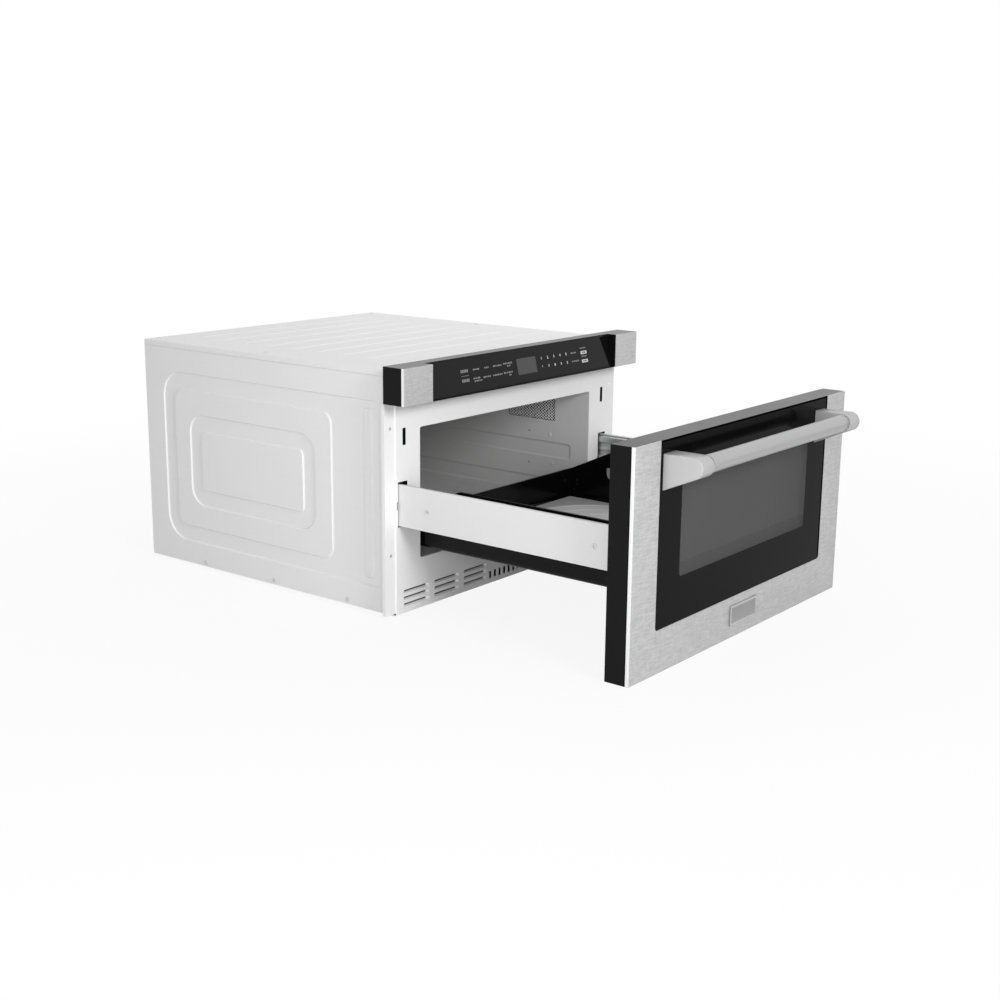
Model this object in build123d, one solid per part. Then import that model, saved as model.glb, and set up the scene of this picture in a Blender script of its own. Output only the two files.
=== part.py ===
from build123d import *
import math
import os

# Built-in microwave drawer, drawn with its drawer fully open.
# Row frame: X across (right +), Y into the cabinet, Z up; origin on the base plate's
# underside, in the middle of the front plate's front face. Lengths in millimetres.

# ---------------------------------------------------------------- driving dimensions
# Cavity and what surrounds it
CAVITY_W = 443.0            # clear width of the front opening and of the liner
CAVITY_H = 203.0            # clear height
CAVITY_D = 440.0            # depth of the liner
CAVITY_Z = 79.5             # height of the cavity floor above the base
HEADROOM = 89.5             # cavity ceiling to the top of the cabinet
REAR_BAY = 121.8            # space behind the liner for the electrics
SHEET = 1.0                 # painted panel sheet
PLATE_T = 1.2               # front plate sheet

# Drawer slides, from the liner outwards
BRACKET_W = 29.1            # liner wall to fixed slide member
BRACKET_L = 20.0            # length of a slide bracket
BRACKET_FRONT = 10.8        # front bracket behind the plate
BRACKET_REAR = 36.0         # rear bracket before the cavity's rear wall
BRACKET_TRIM = (8.0, 6.0)   # bracket shorter than the slide, below and above
SLIDE_W = 17.2              # fixed member's web to the rail's inner face
SLIDE_H = 48.0              # height of the fixed member
SLIDE_Z = 177.0             # centre height of the slides
SLIDE_T = 1.2               # slide and rail sheet
SLIDE_L = 440.0             # length of the fixed and middle members
SLIDE_FRONT = 4.0           # fixed member behind the plate
FIXED_LIP = 12.4            # lip widths of the three members
MIDDLE_LIP = 12.35
MOVING_LIP = 10.3
MIDDLE_STEP = 3.0           # offset of the middle member's web
MIDDLE_RACE = 10.0          # height of its ball races
MOVING_INSET = (8.0, 2.0)   # moving member shorter than the rail, front and rear
RUN_GAP = 0.35              # running gap between slide members
RAIL_H = 63.0               # height of a side rail
RAIL_Z = 139.0              # underside of a side rail
RAIL_STAY = 45.0            # rail length left in the cabinet when open
RAIL_FOOT = 17.4            # width of the rail's folded foot
RAIL_SCREW_AT = (42.1, 337.8)   # rail screws behind the door
RAIL_SCREW_Z = 169.5
SIDE_GAP = 9.0              # rail's outer face to the side panel

# Cabinet sheets
BASE_FLANGE = 15.0          # upturned edge of the base
BASE_SCREW_Y = (98.0, 261.0, 426.0)
BASE_SCREW_Z = 8.0
COVER_FLANGE = 9.0          # folded edge of the top cover
COVER_TUCK = 4.0            # side panel's overlap below that edge
COVER_TAB = 22.0            # side panel's tab under the cover
TAB_FRONT = 12.0            # tab behind the front flange
TOP_SCREW_SIDE = 18.0       # cover screws from the side
TOP_SCREW_Y = 285.0
TOP_SCREW_REAR = 15.0       # rear pair from the back
BEAD_COUNT = 8              # pressed beads across the top cover
BEAD_FIRST = 125.0
BEAD_PITCH = 54.7
BEAD_SIDE = 75.0            # bead end to the cabinet side
BEAD_W = 12.0
BEAD_H = 1.8
BEAD_SLOPE = 0.8            # chamfer along a bead's edge
RING_DEEP = 2.0             # depth of the rings pressed into each side
BIG_RING = (31.0, 44.0, 38.0, 47.0)         # margins: front, rear, foot, head
BIG_ISLAND = (129.0, 72.0, 65.0, 75.0)
SMALL_RING = (164.0, 107.0, 103.0, 114.0)
SMALL_ISLAND = (191.0, 135.0, 131.0, 142.0)
BIG_RING_R = (6.0, 44.0)                    # corner radii: front, rear
BIG_ISLAND_R = (20.0, 20.0)
SMALL_RING_R = (32.0, 32.0)
SMALL_ISLAND_R = (9.0, 9.0)
BAR_Y = 46.0                # upright bead inside the big ring
BAR_W = 14.0
BAR_FOOT = 52.0
BAR_HEAD = 61.0

# Front plate
FOLD_INSET = 4.0            # cabinet side to the flange's fold
FLANGE_OUT = 18.0           # flange reach beyond the cabinet side
FLANGE_BACK = 2.0           # flange set back from the plate's face
FLANGE_LIP = 6.0            # return lip at the flange's edge
FLANGE_FOOT = 3.0           # flange's lower end above the base
FLANGE_HOLE_R = 2.5         # mounting screw holes in the flanges
FLANGE_HOLE_Z = (95.0, 288.0)
FLANGE_HOLE_INSET = 13.0    # hole to the flange's outer edge
TOP_LIP = 10.0              # lip under the top cover
TOP_LIP_INSET = 4.0         # lip's end to the flange's fold
OPENING_R = 4.0             # corner radius of the opening
SLOT_GAP = 1.5              # rail slot's clearance outside the rail
SLOT_IN = 1.1               # and inside the slide
SLOT_LOW = 2.5              # and below the rail
SLOT_HIGH = 3.5             # and above it
NOTCH_GAP = 2.4             # clearance round the rail screws' heads
NOTCH_OUT = 1.0
LATCH_OUT = 5.4             # latch centre outwards of the fixed slide member
LATCH_Z = 273.0
LATCH_SLOT_W = 7.0
LATCH_SLOT_H = 26.0
LOUVRE_L = 58.0             # level louvres at both sides
LOUVRE_H = 5.0
LOUVRE_DEEP = 3.2
LOUVRE_Z = (12.5, 22.5, 33.0)
LOUVRE_X = (87.5, 159.3, 230.5)
SLIT_W = 7.0                # upright louvres in the middle
SLIT_H = 12.5
SLIT_Z = 14.0
SLIT_PITCH = 12.2
SLIT_COUNT = 9

# Latch and interlock
LATCH_WALL = 13.0           # latch housing's half width
LATCH_RIM = 6.0             # housing above and below the slot
LATCH_L = 54.8
LATCH_ROOM = (1.0, 2.0)     # channel wider and higher than the slot
LATCH_END = 10.0            # end wall of the channel
HOOK_L = 36.0
HOOK_H = 20.0
HOOK_T = 3.0
HOOK_NECK = 5.0             # hook's undercut
HOOK_HEAD = 16.0
HOOK_BEVEL = 6.0
SWITCH_W = 20.0
SWITCH_L = 18.0
SWITCH_H = 10.0
SWITCH_FRONT = 6.8
SWITCH_PITCH = 24.0

# Drawer travel and door
TRAVEL = 394.0
CLOSED_GAP = 1.5            # door back to front plate when shut
DOOR_OVERHANG = 22.0        # door beyond the cabinet side
DOOR_H = 324.0
DOOR_T = 40.0
DOOR_GAP = 7.0              # door top to the control panel
DOOR_WALL = 4.0
SKIN_T = 0.8                # stainless skins
SKIN_RETURN = 6.0           # depth of the skin's side return
BAND_W = 61.0               # stainless band beside the glass
BAND_H = 62.5               # stainless band below the glass
GLASS_T = 4.0
GLASS_SINK = 0.8            # glass face behind the stainless face
GLASS_GAP = 0.4             # gap round the door glass
GLASS_TOP_RIM = 1.2         # thin rim of the frame over the glass
WINDOW_W = 376.0
WINDOW_H = 161.0
WINDOW_SILL = 63.5          # window above the glass's lower edge
SCREEN_T = 0.8
SCREEN_LAP = 3.0            # screen's lap round the window
PANEL_T = 1.2               # inner panel
PANEL_INSET = 2.0
PANEL_R = 3.0
SEAL_T = 1.2
SEAL_W = 8.0
SEAL_ROOM = 3.0             # seal's inner edge outside the opening
SEAL_R = 10.0

# Handle
TUBE_R = 12.7
TUBE_WALL = 1.5
HANDLE_REACH = 45.0         # tube axis in front of the stainless face
HANDLE_Z = 288.0
HANDLE_INSET = 8.0          # bracket's outer face to the glass's edge
ARM_W = 30.0                # width of one handle bracket
ARM_FOOT = 50.0             # height of its foot on the glass
ARM_R = 13.5                # its round front
ARM_ROUND = 2.5
SOCKET = 8.0                # tube's seat in a bracket

# Badge
BADGE_W = 78.0
BADGE_H = 31.0
BADGE_T = 2.0
BADGE_RIM = 2.6
BADGE_Z = 30.0

# Pan and tray
PAN_CLEAR = 5.5             # pan side to the liner wall
PAN_LIFT = 15.0             # pan underside above the cavity floor
PAN_H = 98.0
PAN_REAR_H = 48.5           # height of the low rear wall
PAN_SLOPE = 107.0           # length of the sloping part of the sides
PAN_REAR_GAP = 14.2         # pan rear to the liner's rear wall when shut
PAN_T = 1.0
PAN_R = 8.0
PAN_LIP = 3.0
TRAY_T = 3.0
TRAY_INSET = 18.0           # tray edge inside the pan's sides
TRAY_FRONT = 11.0
TRAY_REAR = 13.0
TRAY_R = 6.0
RIVET_R = 2.0
RIVET_H = 0.8
RIVET_REAR = 23.0           # rear side rivets before the pan's rear
RIVET_HIGH = (25.0, 33.0)   # their heights above the pan's underside
RIVET_SIDE = 24.0           # rivets in the rear wall from the side
RIVET_FRONT = (20.0, 60.0)  # front rivets behind the door and above the underside

# Control panel
CONTROL_H = 55.0
CONTROL_D = 40.5
CONTROL_RISE = 10.0         # control panel top above the cabinet top
CONTROL_END = 63.5          # width of an end block
CONTROL_WALL = 2.5
CONTROL_LEDGE = 1.5         # upright edge below the sloping face
CAP_RETURN = 3.0            # end cap's fold round the corner
GLASS_TOP_BACK = 18.5       # control glass set back at its top
GLASS_FOOT_BACK = 6.0       # and at its foot
CONTROL_GLASS_T = 2.5
GLASS_RIM = 2.0             # housing rim above and below the control glass
GLASS_END = 1.0             # and at its ends
GLASS_SEAT = 4.0            # ledge that carries the glass
DISPLAY_W = 54.0
DISPLAY_H = 26.0
DISPLAY_T = 6.0
DISPLAY_X = 5.0
DISPLAY_ROOM = 4.0

# Drive rack, pinion and gear motor
GEAR_M = 1.5                # module
PINION_TEETH = 18
PRESSURE = math.radians(20.0)
ROOT_DEPTH = 1.25           # tooth root depth in modules
BACKLASH = 0.25
GEAR_W = 8.0
RACK_W = 10.3
RACK_H = 6.5                # rack body above the tooth roots
RACK_INSET = (6.0, 3.0)     # rack shorter than the rail, front and rear
PITCH_Z = 144.0             # pitch line height
PINION_BACK = 24.0          # pinion behind the front plate
PINION_SHAFT = 14.0
SHAFT_R = 3.0
SHAFT_FIT = 0.05            # radial running clearance
GEARBOX_GAP = 2.0           # gearbox side to the pinion
GEARBOX_STANDOFF = 2.5      # gearbox to the liner
GEARBOX_FRONT = 6.0
GEARBOX_L = 56.0
GEARBOX_PAD = 28.0
GEARBOX_LOW = 28.0          # gearbox below the pinion's axis
GEARBOX_PAD_LOW = 6.0
GEARBOX_HIGH = 5.0          # gearbox above the pitch line
CAN_R = 15.0
CAN_L = 56.0
CAN_DROP = 8.0

# Cavity vent, lamp and wall beads
LINER_FLANGE = 8.0
WALL_BEAD_LOW = 10.5        # lower wall bead above the cavity floor
WALL_BEAD_H = 28.0
WALL_BEAD_PITCH = 66.0
WALL_BEAD_FRONT = 38.0
WALL_BEAD_REAR = 40.0
WALL_BEAD_DEEP = 1.5
WALL_BEAD_R = 8.0
VENT_FRONT = 72.0           # vent window in the right wall
VENT_L = 112.0
VENT_HEAD = 16.5            # vent window below the ceiling
VENT_H = 50.0
VENT_LAP = 4.0
VENT_PITCH = 5.0
VENT_HOLE_R = 1.5
VENT_EDGE = 8.0             # unpierced border round the holes
DUCT_WALL = 1.5
DUCT_ROOM = 6.0             # duct outside the vent window
DUCT_OUT = 6.0              # duct wider than the rail's outer face
DUCT_REAR = 40.0            # duct's end behind the liner
LAMP_R = 12.0
LAMP_Y = 120.0
LAMP_DROP = 42.5            # lamp below the ceiling
LAMP_L = 17.0
LAMP_COLLAR = 4.0

# Stirrer and waveguide
CHAMBER_W = 170.0           # stirrer chamber above the ceiling
CHAMBER_D = 170.0
CHAMBER_H = 30.0
CHAMBER_Y = 215.0
CHAMBER_LEDGE = 5.0         # ceiling left inside the chamber's walls
COVER_LAP = 6.0             # stirrer cover wider than the chamber
STIR_COVER_T = 1.5
STIR_COVER_R = 8.0
GUIDE_W = 86.0              # waveguide
GUIDE_T = 1.2
GUIDE_END = 42.0            # waveguide past the antenna
GUIDE_HOLE = 3.0            # hole round the antenna
STIRRER_R = 68.0
STIRRER_LIFT = 12.0         # vanes above the ceiling
STIRRER_HUB_R = 9.0
STIRRER_HUB_LOW = 5.0
STIRRER_HUB_HIGH = 6.0
VANE_W = 26.0
VANE_T = 1.2
VANE_TILT = 12.0            # degrees
VANE_COUNT = 3
STIR_SHAFT_R = 2.5
STIR_SHAFT_UP = 12.0        # shaft into the motor
STIR_HOLE = 1.5
STIR_MOTOR_R = 24.0
STIR_MOTOR_H = 18.0
STIR_STRAP = (64.0, 14.0, 1.5)

# Magnetron
MAG_BACK = 55.0             # antenna behind the liner
MAG_W = 88.0
MAG_D = 76.0
MAG_H = 78.0
MAG_WALL = 2.0
ANODE_R = 20.0
ANTENNA_R = 8.0
ANTENNA_H = 20.0
FILTER_H = 26.0
FILTER_INSET = (4.0, 8.0)
FIN_COUNT = 6
FIN_FIRST = 14.0
FIN_PITCH = 10.0
FIN_T = 1.0
FIN_GAP = 0.1
FIN_INSET = 4.0

# Transformer, capacitor and power board
TRANS_SIDE = 100.0          # transformer centre from the cabinet side
TRANS_BACK = 58.0           # and behind the liner
TRANS_FOOT = (100.0, 68.0, 3.0)
CORE_W = 84.0
CORE_D = 64.0
CORE_H = 70.0
CORE_LIMB = 22.0            # width of the middle limb
CORE_WINDOW = 15.0
CORE_YOKE = 15.0
COIL_OUT = 14.0             # coils beyond the core's faces
COIL_GAP = 3.0              # between the two coils
COIL_LOW_H = 18.0
COIL_R = 3.0
CAP_SIDE = 195.0
CAP_BACK = 60.0
CAP_W = 34.0
CAP_D = 52.0
CAP_H = 82.0
CAP_R = 14.0
CAP_POST_R = 3.0
CAP_POST_H = 8.0
CAP_POST_PITCH = 20.0
BOARD_SIDE = 25.0
BOARD_W = 140.0
BOARD_H = 120.0
BOARD_Z = 120.0
BOARD_T = 1.6
BOARD_OFF = 8.0             # board off the back panel
BOARD_POST_R = 3.0
BOARD_POST_INSET = 8.0
RELAY = (20.0, 18.4, 28.0)
RELAY_COUNT = 3
RELAY_PITCH = 34.0
RELAY_AT = (30.0, 20.0)
COIL_CHOKE = (12.0, 24.4, 40.0, 35.0)
MAINS_FILTER = (45.0, 22.4, 35.0, 15.0, 20.0)

# Cooling fan and rear openings
FAN_R = 54.0
FAN_SIDE = 130.0            # fan axis from the cabinet side
FAN_Z = 150.0
FAN_FRAME = 130.0
FAN_FRAME_D = 28.0
FAN_FRAME_R = 6.0
FAN_TIP_GAP = 2.5
FAN_SHAFT_R = 2.0
FAN_SHAFT_L = 25.0
FAN_HUB_R = 14.0
FAN_HUB_L = 16.0
FAN_HUB_GAP = 3.0
FAN_BLADES = 5
FAN_BLADE_W = 22.0
FAN_BLADE_T = 1.6
FAN_BLADE_TILT = 28.0       # degrees
FAN_BLADE_IN = 13.0
FAN_MOTOR_R = 23.0
FAN_MOTOR_L = 30.0
FAN_ARM = (14.0, 4.0)       # strap's height and thickness
FAN_STACK = (60.0, 14.0, 52.0, 6.0)
FAN_BORE_END = 4.0
BACK_VENT_N = 9
BACK_VENT_REACH = 0.9       # slot length as a share of the fan circle's chord
GLAND_SIDE = 80.0
GLAND_Z = 300.0
GLAND_R = 9.0
GLAND_BORE = 4.2
GLAND_COLLAR = 3.5
GLAND_LIP = 4.0

# Fixings
SCREW_HEAD_R = 4.2
SCREW_HEAD_H = 1.6
SCREW_ROUND = 0.9
SCREW_R = 1.8
SCREW_L = 5.0
HOLE_FIT = 0.1
CUT = 1.0                   # how far a cutting tool passes the face it cuts

# ---------------------------------------------------------------- derived places
LINER_X = CAVITY_W / 2 + SHEET
FIXED_X = LINER_X + BRACKET_W
RAIL_IN = FIXED_X + SLIDE_W
RAIL_OUT = RAIL_IN + SLIDE_T
BODY_X = RAIL_OUT + SIDE_GAP + SHEET
BODY_H = CAVITY_Z + CAVITY_H + HEADROOM
BODY_D = PLATE_T + CAVITY_D + REAR_BAY
CAVITY_TOP = CAVITY_Z + CAVITY_H
CAVITY_BACK = PLATE_T + CAVITY_D
LINER_BACK = CAVITY_BACK + SHEET
BACK_Y = BODY_D - SHEET
SIDE_Y = FLANGE_BACK + PLATE_T
FOLD_X = BODY_X - FOLD_INSET
FLANGE_X = BODY_X + FLANGE_OUT
LATCH_X = FIXED_X + LATCH_OUT
DOOR_X = BODY_X + DOOR_OVERHANG
CONTROL_TOP = BODY_H + CONTROL_RISE
CONTROL_Z = CONTROL_TOP - CONTROL_H
DOOR_TOP = CONTROL_Z - DOOR_GAP
DOOR_Z = DOOR_TOP - DOOR_H
DOOR_BACK = -(TRAVEL + CLOSED_GAP)
DOOR_FRONT = DOOR_BACK - DOOR_T
GLASS_X = DOOR_X - BAND_W
GLASS_Z = DOOR_Z + BAND_H
PAN_X = CAVITY_W / 2 - PAN_CLEAR
PAN_Z = CAVITY_Z + PAN_LIFT
PAN_REAR = DOOR_BACK + CAVITY_BACK + CLOSED_GAP - PAN_REAR_GAP


# ---------------------------------------------------------------- small makers
def block(x0, x1, y0, y1, z0, z1):
    """A rectangular solid between two corners."""
    return Pos((x0 + x1) / 2, (y0 + y1) / 2, (z0 + z1) / 2) * Box(x1 - x0, y1 - y0, z1 - z0)


def side_block(side, x0, x1, y0, y1, z0, z1):
    """A rectangular solid on the left (-1) or right (+1), from distances off the middle."""
    low, high = sorted((side * x0, side * x1))
    return block(low, high, y0, y1, z0, z1)


def prism_x(points, x0, x1):
    """A solid from a (y, z) outline, along X."""
    wire = Polyline(*[(x0, y, z) for y, z in points], close=True)
    return extrude(make_face(wire), amount=x1 - x0, dir=(1, 0, 0))


def prism_z(points, z0, z1):
    """A solid from an (x, y) outline, along Z."""
    wire = Polyline(*[(x, y, z0) for x, y in points], close=True)
    return extrude(make_face(wire), amount=z1 - z0, dir=(0, 0, 1))


def rod(radius, start, end):
    """A round bar between two points."""
    path = Vector(*end) - Vector(*start)
    plane = Plane(origin=start, z_dir=path.normalized())
    return extrude(plane * Circle(radius), amount=path.length)


def rounded_x(x0, x1, y0, y1, z0, z1, front_r, rear_r):
    """A plate across X whose front and rear corners have their own radii."""
    limit = 0.45 * min(y1 - y0, z1 - z0)
    plate = block(x0, x1, y0, y1, z0, z1)
    front = plate.edges().filter_by(Axis.X).group_by(Axis.Y)[0]
    plate = fillet(front, min(front_r, limit))
    rear = plate.edges().filter_by(Axis.X).filter_by(GeomType.LINE).group_by(Axis.Y)[-1]
    return fillet(rear, min(rear_r, limit))


def rounded_z(x0, x1, y0, y1, z0, z1, radius):
    """A level plate with four rounded corners."""
    plate = block(x0, x1, y0, y1, z0, z1)
    return fillet(plate.edges().filter_by(Axis.Z), min(radius, 0.45 * min(x1 - x0, y1 - y0)))


def rounded_y(x0, x1, y0, y1, z0, z1, radius):
    """An upright plate across Y with four rounded corners."""
    plate = block(x0, x1, y0, y1, z0, z1)
    return fillet(plate.edges().filter_by(Axis.Y), min(radius, 0.45 * min(x1 - x0, z1 - z0)))


def other_side(shape):
    """The same piece on the other side of the drawer."""
    return mirror(shape, about=Plane.YZ)


def same_side(shape):
    """The piece as it is drawn, on the right."""
    return shape


def screw(at, out):
    """A round-head screw whose head sits on the surface at a point, facing out."""
    at, out = Vector(*at), Vector(*out)
    head = rod(SCREW_HEAD_R, at, at + out * SCREW_HEAD_H)
    rims = head.edges().filter_by(GeomType.CIRCLE).sort_by(lambda e: e.center().dot(out))
    head = fillet(rims[-1], SCREW_ROUND)
    return head + rod(SCREW_R, at - out * SCREW_L, at)


def screw_hole(at, out):
    """The clearance hole for a screw."""
    at, out = Vector(*at), Vector(*out)
    return rod(SCREW_R + HOLE_FIT, at - out * (SCREW_L + CUT), at + out * CUT)


NODES = {}


def keep(name, *solids):
    """Remembers a node: one solid, or a group of separate solids."""
    NODES[name] = solids[0] if len(solids) == 1 else Compound(children=list(solids))


# ---------------------------------------------------------------- cabinet shell
def top_screw_spots():
    """Where the cover's screws sit: two pairs on the cover."""
    x = BODY_X - TOP_SCREW_SIDE
    return [(side * x, y, BODY_H) for side in (-1, 1) for y in (TOP_SCREW_Y, BODY_D - TOP_SCREW_REAR)]


def base_screw_spots():
    """Where the base's screws sit: three in each side panel's foot."""
    return [(side * BODY_X, y, BASE_SCREW_Z) for side in (-1, 1) for y in BASE_SCREW_Y]


def outwards(spot):
    """The direction out of the side panel at a spot."""
    return (math.copysign(1, spot[0]), 0, 0)


def base_plate():
    """Bottom sheet with upturned edges that the side panels screw to."""
    inner = BODY_X - SHEET
    plate = block(-inner, inner, PLATE_T, BACK_Y, 0, SHEET)
    for side in (-1, 1):
        plate += side_block(side, inner - SHEET, inner, SIDE_Y, BACK_Y, 0, BASE_FLANGE)
    for spot in base_screw_spots():
        plate -= screw_hole(spot, outwards(spot))
    return plate


def margins(rect, grow=0.0):
    """The y and z limits of a pressing from its margins, moved outwards."""
    front, rear, foot, head = rect
    return front - grow, BODY_D - rear + grow, foot - grow, BODY_H - head + grow


def pressing(x0, x1, rect, radii, grow=0.0):
    """A rounded plate across X for a side panel's pressing."""
    front_r, rear_r = radii
    return rounded_x(x0, x1, *margins(rect, grow), front_r + grow, rear_r + grow)


def side_panel():
    """Left side panel: flat sheet with two pressed-in rings and an upright bead."""
    outer, inner = -BODY_X, SHEET - BODY_X
    panel = block(outer, inner, SIDE_Y, BODY_D, 0, BODY_H - COVER_FLANGE)
    tuck_z = BODY_H - COVER_FLANGE - COVER_TUCK
    panel += block(inner, inner + SHEET, SIDE_Y, BACK_Y, tuck_z, BODY_H - SHEET)
    panel += block(inner, inner + COVER_TAB, SIDE_Y + TAB_FRONT, BACK_Y, BODY_H - 2 * SHEET, BODY_H - SHEET)
    deep = RING_DEEP
    for ring, ring_r, island, island_r in ((BIG_RING, BIG_RING_R, BIG_ISLAND, BIG_ISLAND_R),
                                           (SMALL_RING, SMALL_RING_R, SMALL_ISLAND, SMALL_ISLAND_R)):
        pressed = pressing(outer, inner + deep, ring, ring_r, SHEET)
        pressed -= pressing(outer - CUT, inner + deep + CUT, island, island_r, -SHEET)
        groove = pressing(outer - CUT, outer + deep, ring, ring_r)
        groove -= pressing(outer - 2 * CUT, outer + deep + CUT, island, island_r)
        panel = panel + pressed - groove
    panel += block(outer, outer + deep + SHEET, BAR_Y, BAR_Y + BAR_W, BAR_FOOT, BODY_H - BAR_HEAD)
    for spot in base_screw_spots():
        panel -= screw_hole(spot, outwards(spot))
    for spot in top_screw_spots():
        panel -= screw_hole(spot, (0, 0, 1))
    return panel


def top_cover():
    """Top sheet with pressed beads across it and a folded edge down each side."""
    cover = block(-BODY_X, BODY_X, SIDE_Y, BODY_D, BODY_H - SHEET, BODY_H)
    for side in (-1, 1):
        cover += side_block(side, BODY_X - SHEET, BODY_X, SIDE_Y, BODY_D, BODY_H - COVER_FLANGE, BODY_H - SHEET)
    half, reach = BEAD_W / 2, BODY_X - BEAD_SIDE
    for i in range(BEAD_COUNT):
        y = BEAD_FIRST + i * BEAD_PITCH
        bead = rounded_z(-reach, reach, y - half, y + half, BODY_H - SHEET, BODY_H + BEAD_H, half)
        bead = chamfer(bead.edges().group_by(Axis.Z)[-1], BEAD_SLOPE)
        inner = half - SHEET
        under = rounded_z(SHEET - reach, reach - SHEET, y - inner, y + inner,
                          BODY_H - SHEET - CUT, BODY_H + BEAD_H - SHEET, inner)
        cover = cover + bead - under
    for spot in top_screw_spots():
        cover -= screw_hole(spot, (0, 0, 1))
    return cover


FAN_X = BODY_X - FAN_SIDE
GLAND_X = GLAND_SIDE - BODY_X


def back_panel():
    """Rear sheet with outlet slots behind the fan and a hole for the cord gland."""
    inner = BODY_X - SHEET
    panel = block(-inner, inner, BACK_Y, BODY_D, 0, BODY_H - SHEET)
    pitch = 2 * FAN_R / BACK_VENT_N
    for i in range(BACK_VENT_N):
        z = (i + 0.5) * pitch - FAN_R
        half = math.sqrt(FAN_R ** 2 - z ** 2) * BACK_VENT_REACH
        low = FAN_Z + z - pitch / 4
        panel -= block(FAN_X - half, FAN_X + half, BACK_Y - CUT, BODY_D + CUT, low, low + pitch / 2)
    return panel - rod(GLAND_R, (GLAND_X, BACK_Y - CUT, GLAND_Z), (GLAND_X, BODY_D + CUT, GLAND_Z))


# ---------------------------------------------------------------- front plate
def louvre(x0, x1, z):
    """One pressed-in louvre: a ramp behind the slot, closed at both ends."""
    z0, z1 = z - LOUVRE_H / 2, z + LOUVRE_H / 2
    ramp = [(0, z0), (PLATE_T, z0), (LOUVRE_DEEP + PLATE_T, z1), (LOUVRE_DEEP, z1)]
    cheek = [(0, z0), (0, z1), (LOUVRE_DEEP + PLATE_T, z1), (PLATE_T, z0)]
    body = prism_x(ramp, x0, x1)
    body += prism_x(cheek, x0 - PLATE_T, x0)
    return body + prism_x(cheek, x1, x1 + PLATE_T)


def slit_louvre(x0, x1, z0, z1):
    """One upright pressed-in louvre."""
    ramp = [(x1, 0), (x1, PLATE_T), (x0, LOUVRE_DEEP + PLATE_T), (x0, LOUVRE_DEEP)]
    cheek = [(x1, 0), (x0, 0), (x0, LOUVRE_DEEP + PLATE_T), (x1, PLATE_T)]
    body = prism_z(ramp, z0, z1)
    body += prism_z(cheek, z0 - PLATE_T, z0)
    return body + prism_z(cheek, z1, z1 + PLATE_T)


def flange(side):
    """One folded side flange with its return lip."""
    z0, z1 = FLANGE_FOOT, CONTROL_Z - CUT
    part = side_block(side, FOLD_X - PLATE_T, FOLD_X, 0, SIDE_Y, z0, z1)
    part += side_block(side, FOLD_X - PLATE_T, FLANGE_X, FLANGE_BACK, SIDE_Y, z0, z1)
    part += side_block(side, FLANGE_X - PLATE_T, FLANGE_X, FLANGE_BACK, FLANGE_BACK + FLANGE_LIP, z0, z1)
    x = side * (FLANGE_X - FLANGE_HOLE_INSET)
    for z in FLANGE_HOLE_Z:
        part -= rod(FLANGE_HOLE_R, (x, FLANGE_BACK - CUT, z), (x, SIDE_Y + CUT, z))
    return part


def front_plate():
    """Front sheet: cavity opening, rail and latch slots, louvres, side flanges."""
    top = BODY_H - SHEET
    front, back = -CUT, PLATE_T + CUT
    plate = block(-FOLD_X, FOLD_X, 0, PLATE_T, 0, top)
    lip = FOLD_X - TOP_LIP_INSET
    plate += block(-lip, lip, PLATE_T, PLATE_T + TOP_LIP, top - PLATE_T, top)
    slot_out = RAIL_OUT + SLOT_GAP
    notch_out = slot_out + SCREW_HEAD_H + NOTCH_OUT
    notch_r = SCREW_HEAD_R + NOTCH_GAP
    half_w, half_h = LATCH_SLOT_W / 2, LATCH_SLOT_H / 2
    for side in (-1, 1):
        plate += flange(side)
        plate -= side_block(side, FIXED_X - SLOT_IN, slot_out, front, back, RAIL_Z - SLOT_LOW,
                            RAIL_Z + RAIL_H + SLOT_HIGH)
        plate -= side_block(side, slot_out - CUT, notch_out, front, SIDE_Y + CUT, RAIL_SCREW_Z - notch_r,
                            RAIL_SCREW_Z + notch_r)
        plate -= side_block(side, LATCH_X - half_w, LATCH_X + half_w, front, back, LATCH_Z - half_h,
                            LATCH_Z + half_h)
        for z in LOUVRE_Z:
            for x in LOUVRE_X:
                x0, x1 = side * x - LOUVRE_L / 2, side * x + LOUVRE_L / 2
                plate -= block(x0, x1, front, back, z - LOUVRE_H / 2, z + LOUVRE_H / 2)
                plate += louvre(x0, x1, z)
    half = CAVITY_W / 2
    plate -= rounded_y(-half, half, front, back, CAVITY_Z, CAVITY_TOP, OPENING_R)
    z0, z1 = SLIT_Z - SLIT_H / 2, SLIT_Z + SLIT_H / 2
    for i in range(SLIT_COUNT):
        x0 = (i - (SLIT_COUNT - 1) / 2) * SLIT_PITCH - SLIT_W / 2
        plate -= block(x0, x0 + SLIT_W, front, back, z0, z1)
        plate += slit_louvre(x0, x0 + SLIT_W, z0, z1)
    return plate


# ---------------------------------------------------------------- cavity
VENT_Z0 = CAVITY_TOP - VENT_HEAD - VENT_H
VENT_Z1 = CAVITY_TOP - VENT_HEAD
VENT_REAR = VENT_FRONT + VENT_L
LAMP_Z = CAVITY_TOP - LAMP_DROP


def wall_beads(reach, grow, radius):
    """The long beads pressed outwards in both side walls, as plates across the cavity."""
    y0, y1 = WALL_BEAD_FRONT - grow, CAVITY_BACK - WALL_BEAD_REAR + grow
    beads = []
    for i in range(2):
        z0 = CAVITY_Z + WALL_BEAD_LOW + i * WALL_BEAD_PITCH
        beads.append(rounded_x(-reach, reach, y0, y1, z0 - grow, z0 + WALL_BEAD_H + grow, radius, radius))
    return beads


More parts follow.
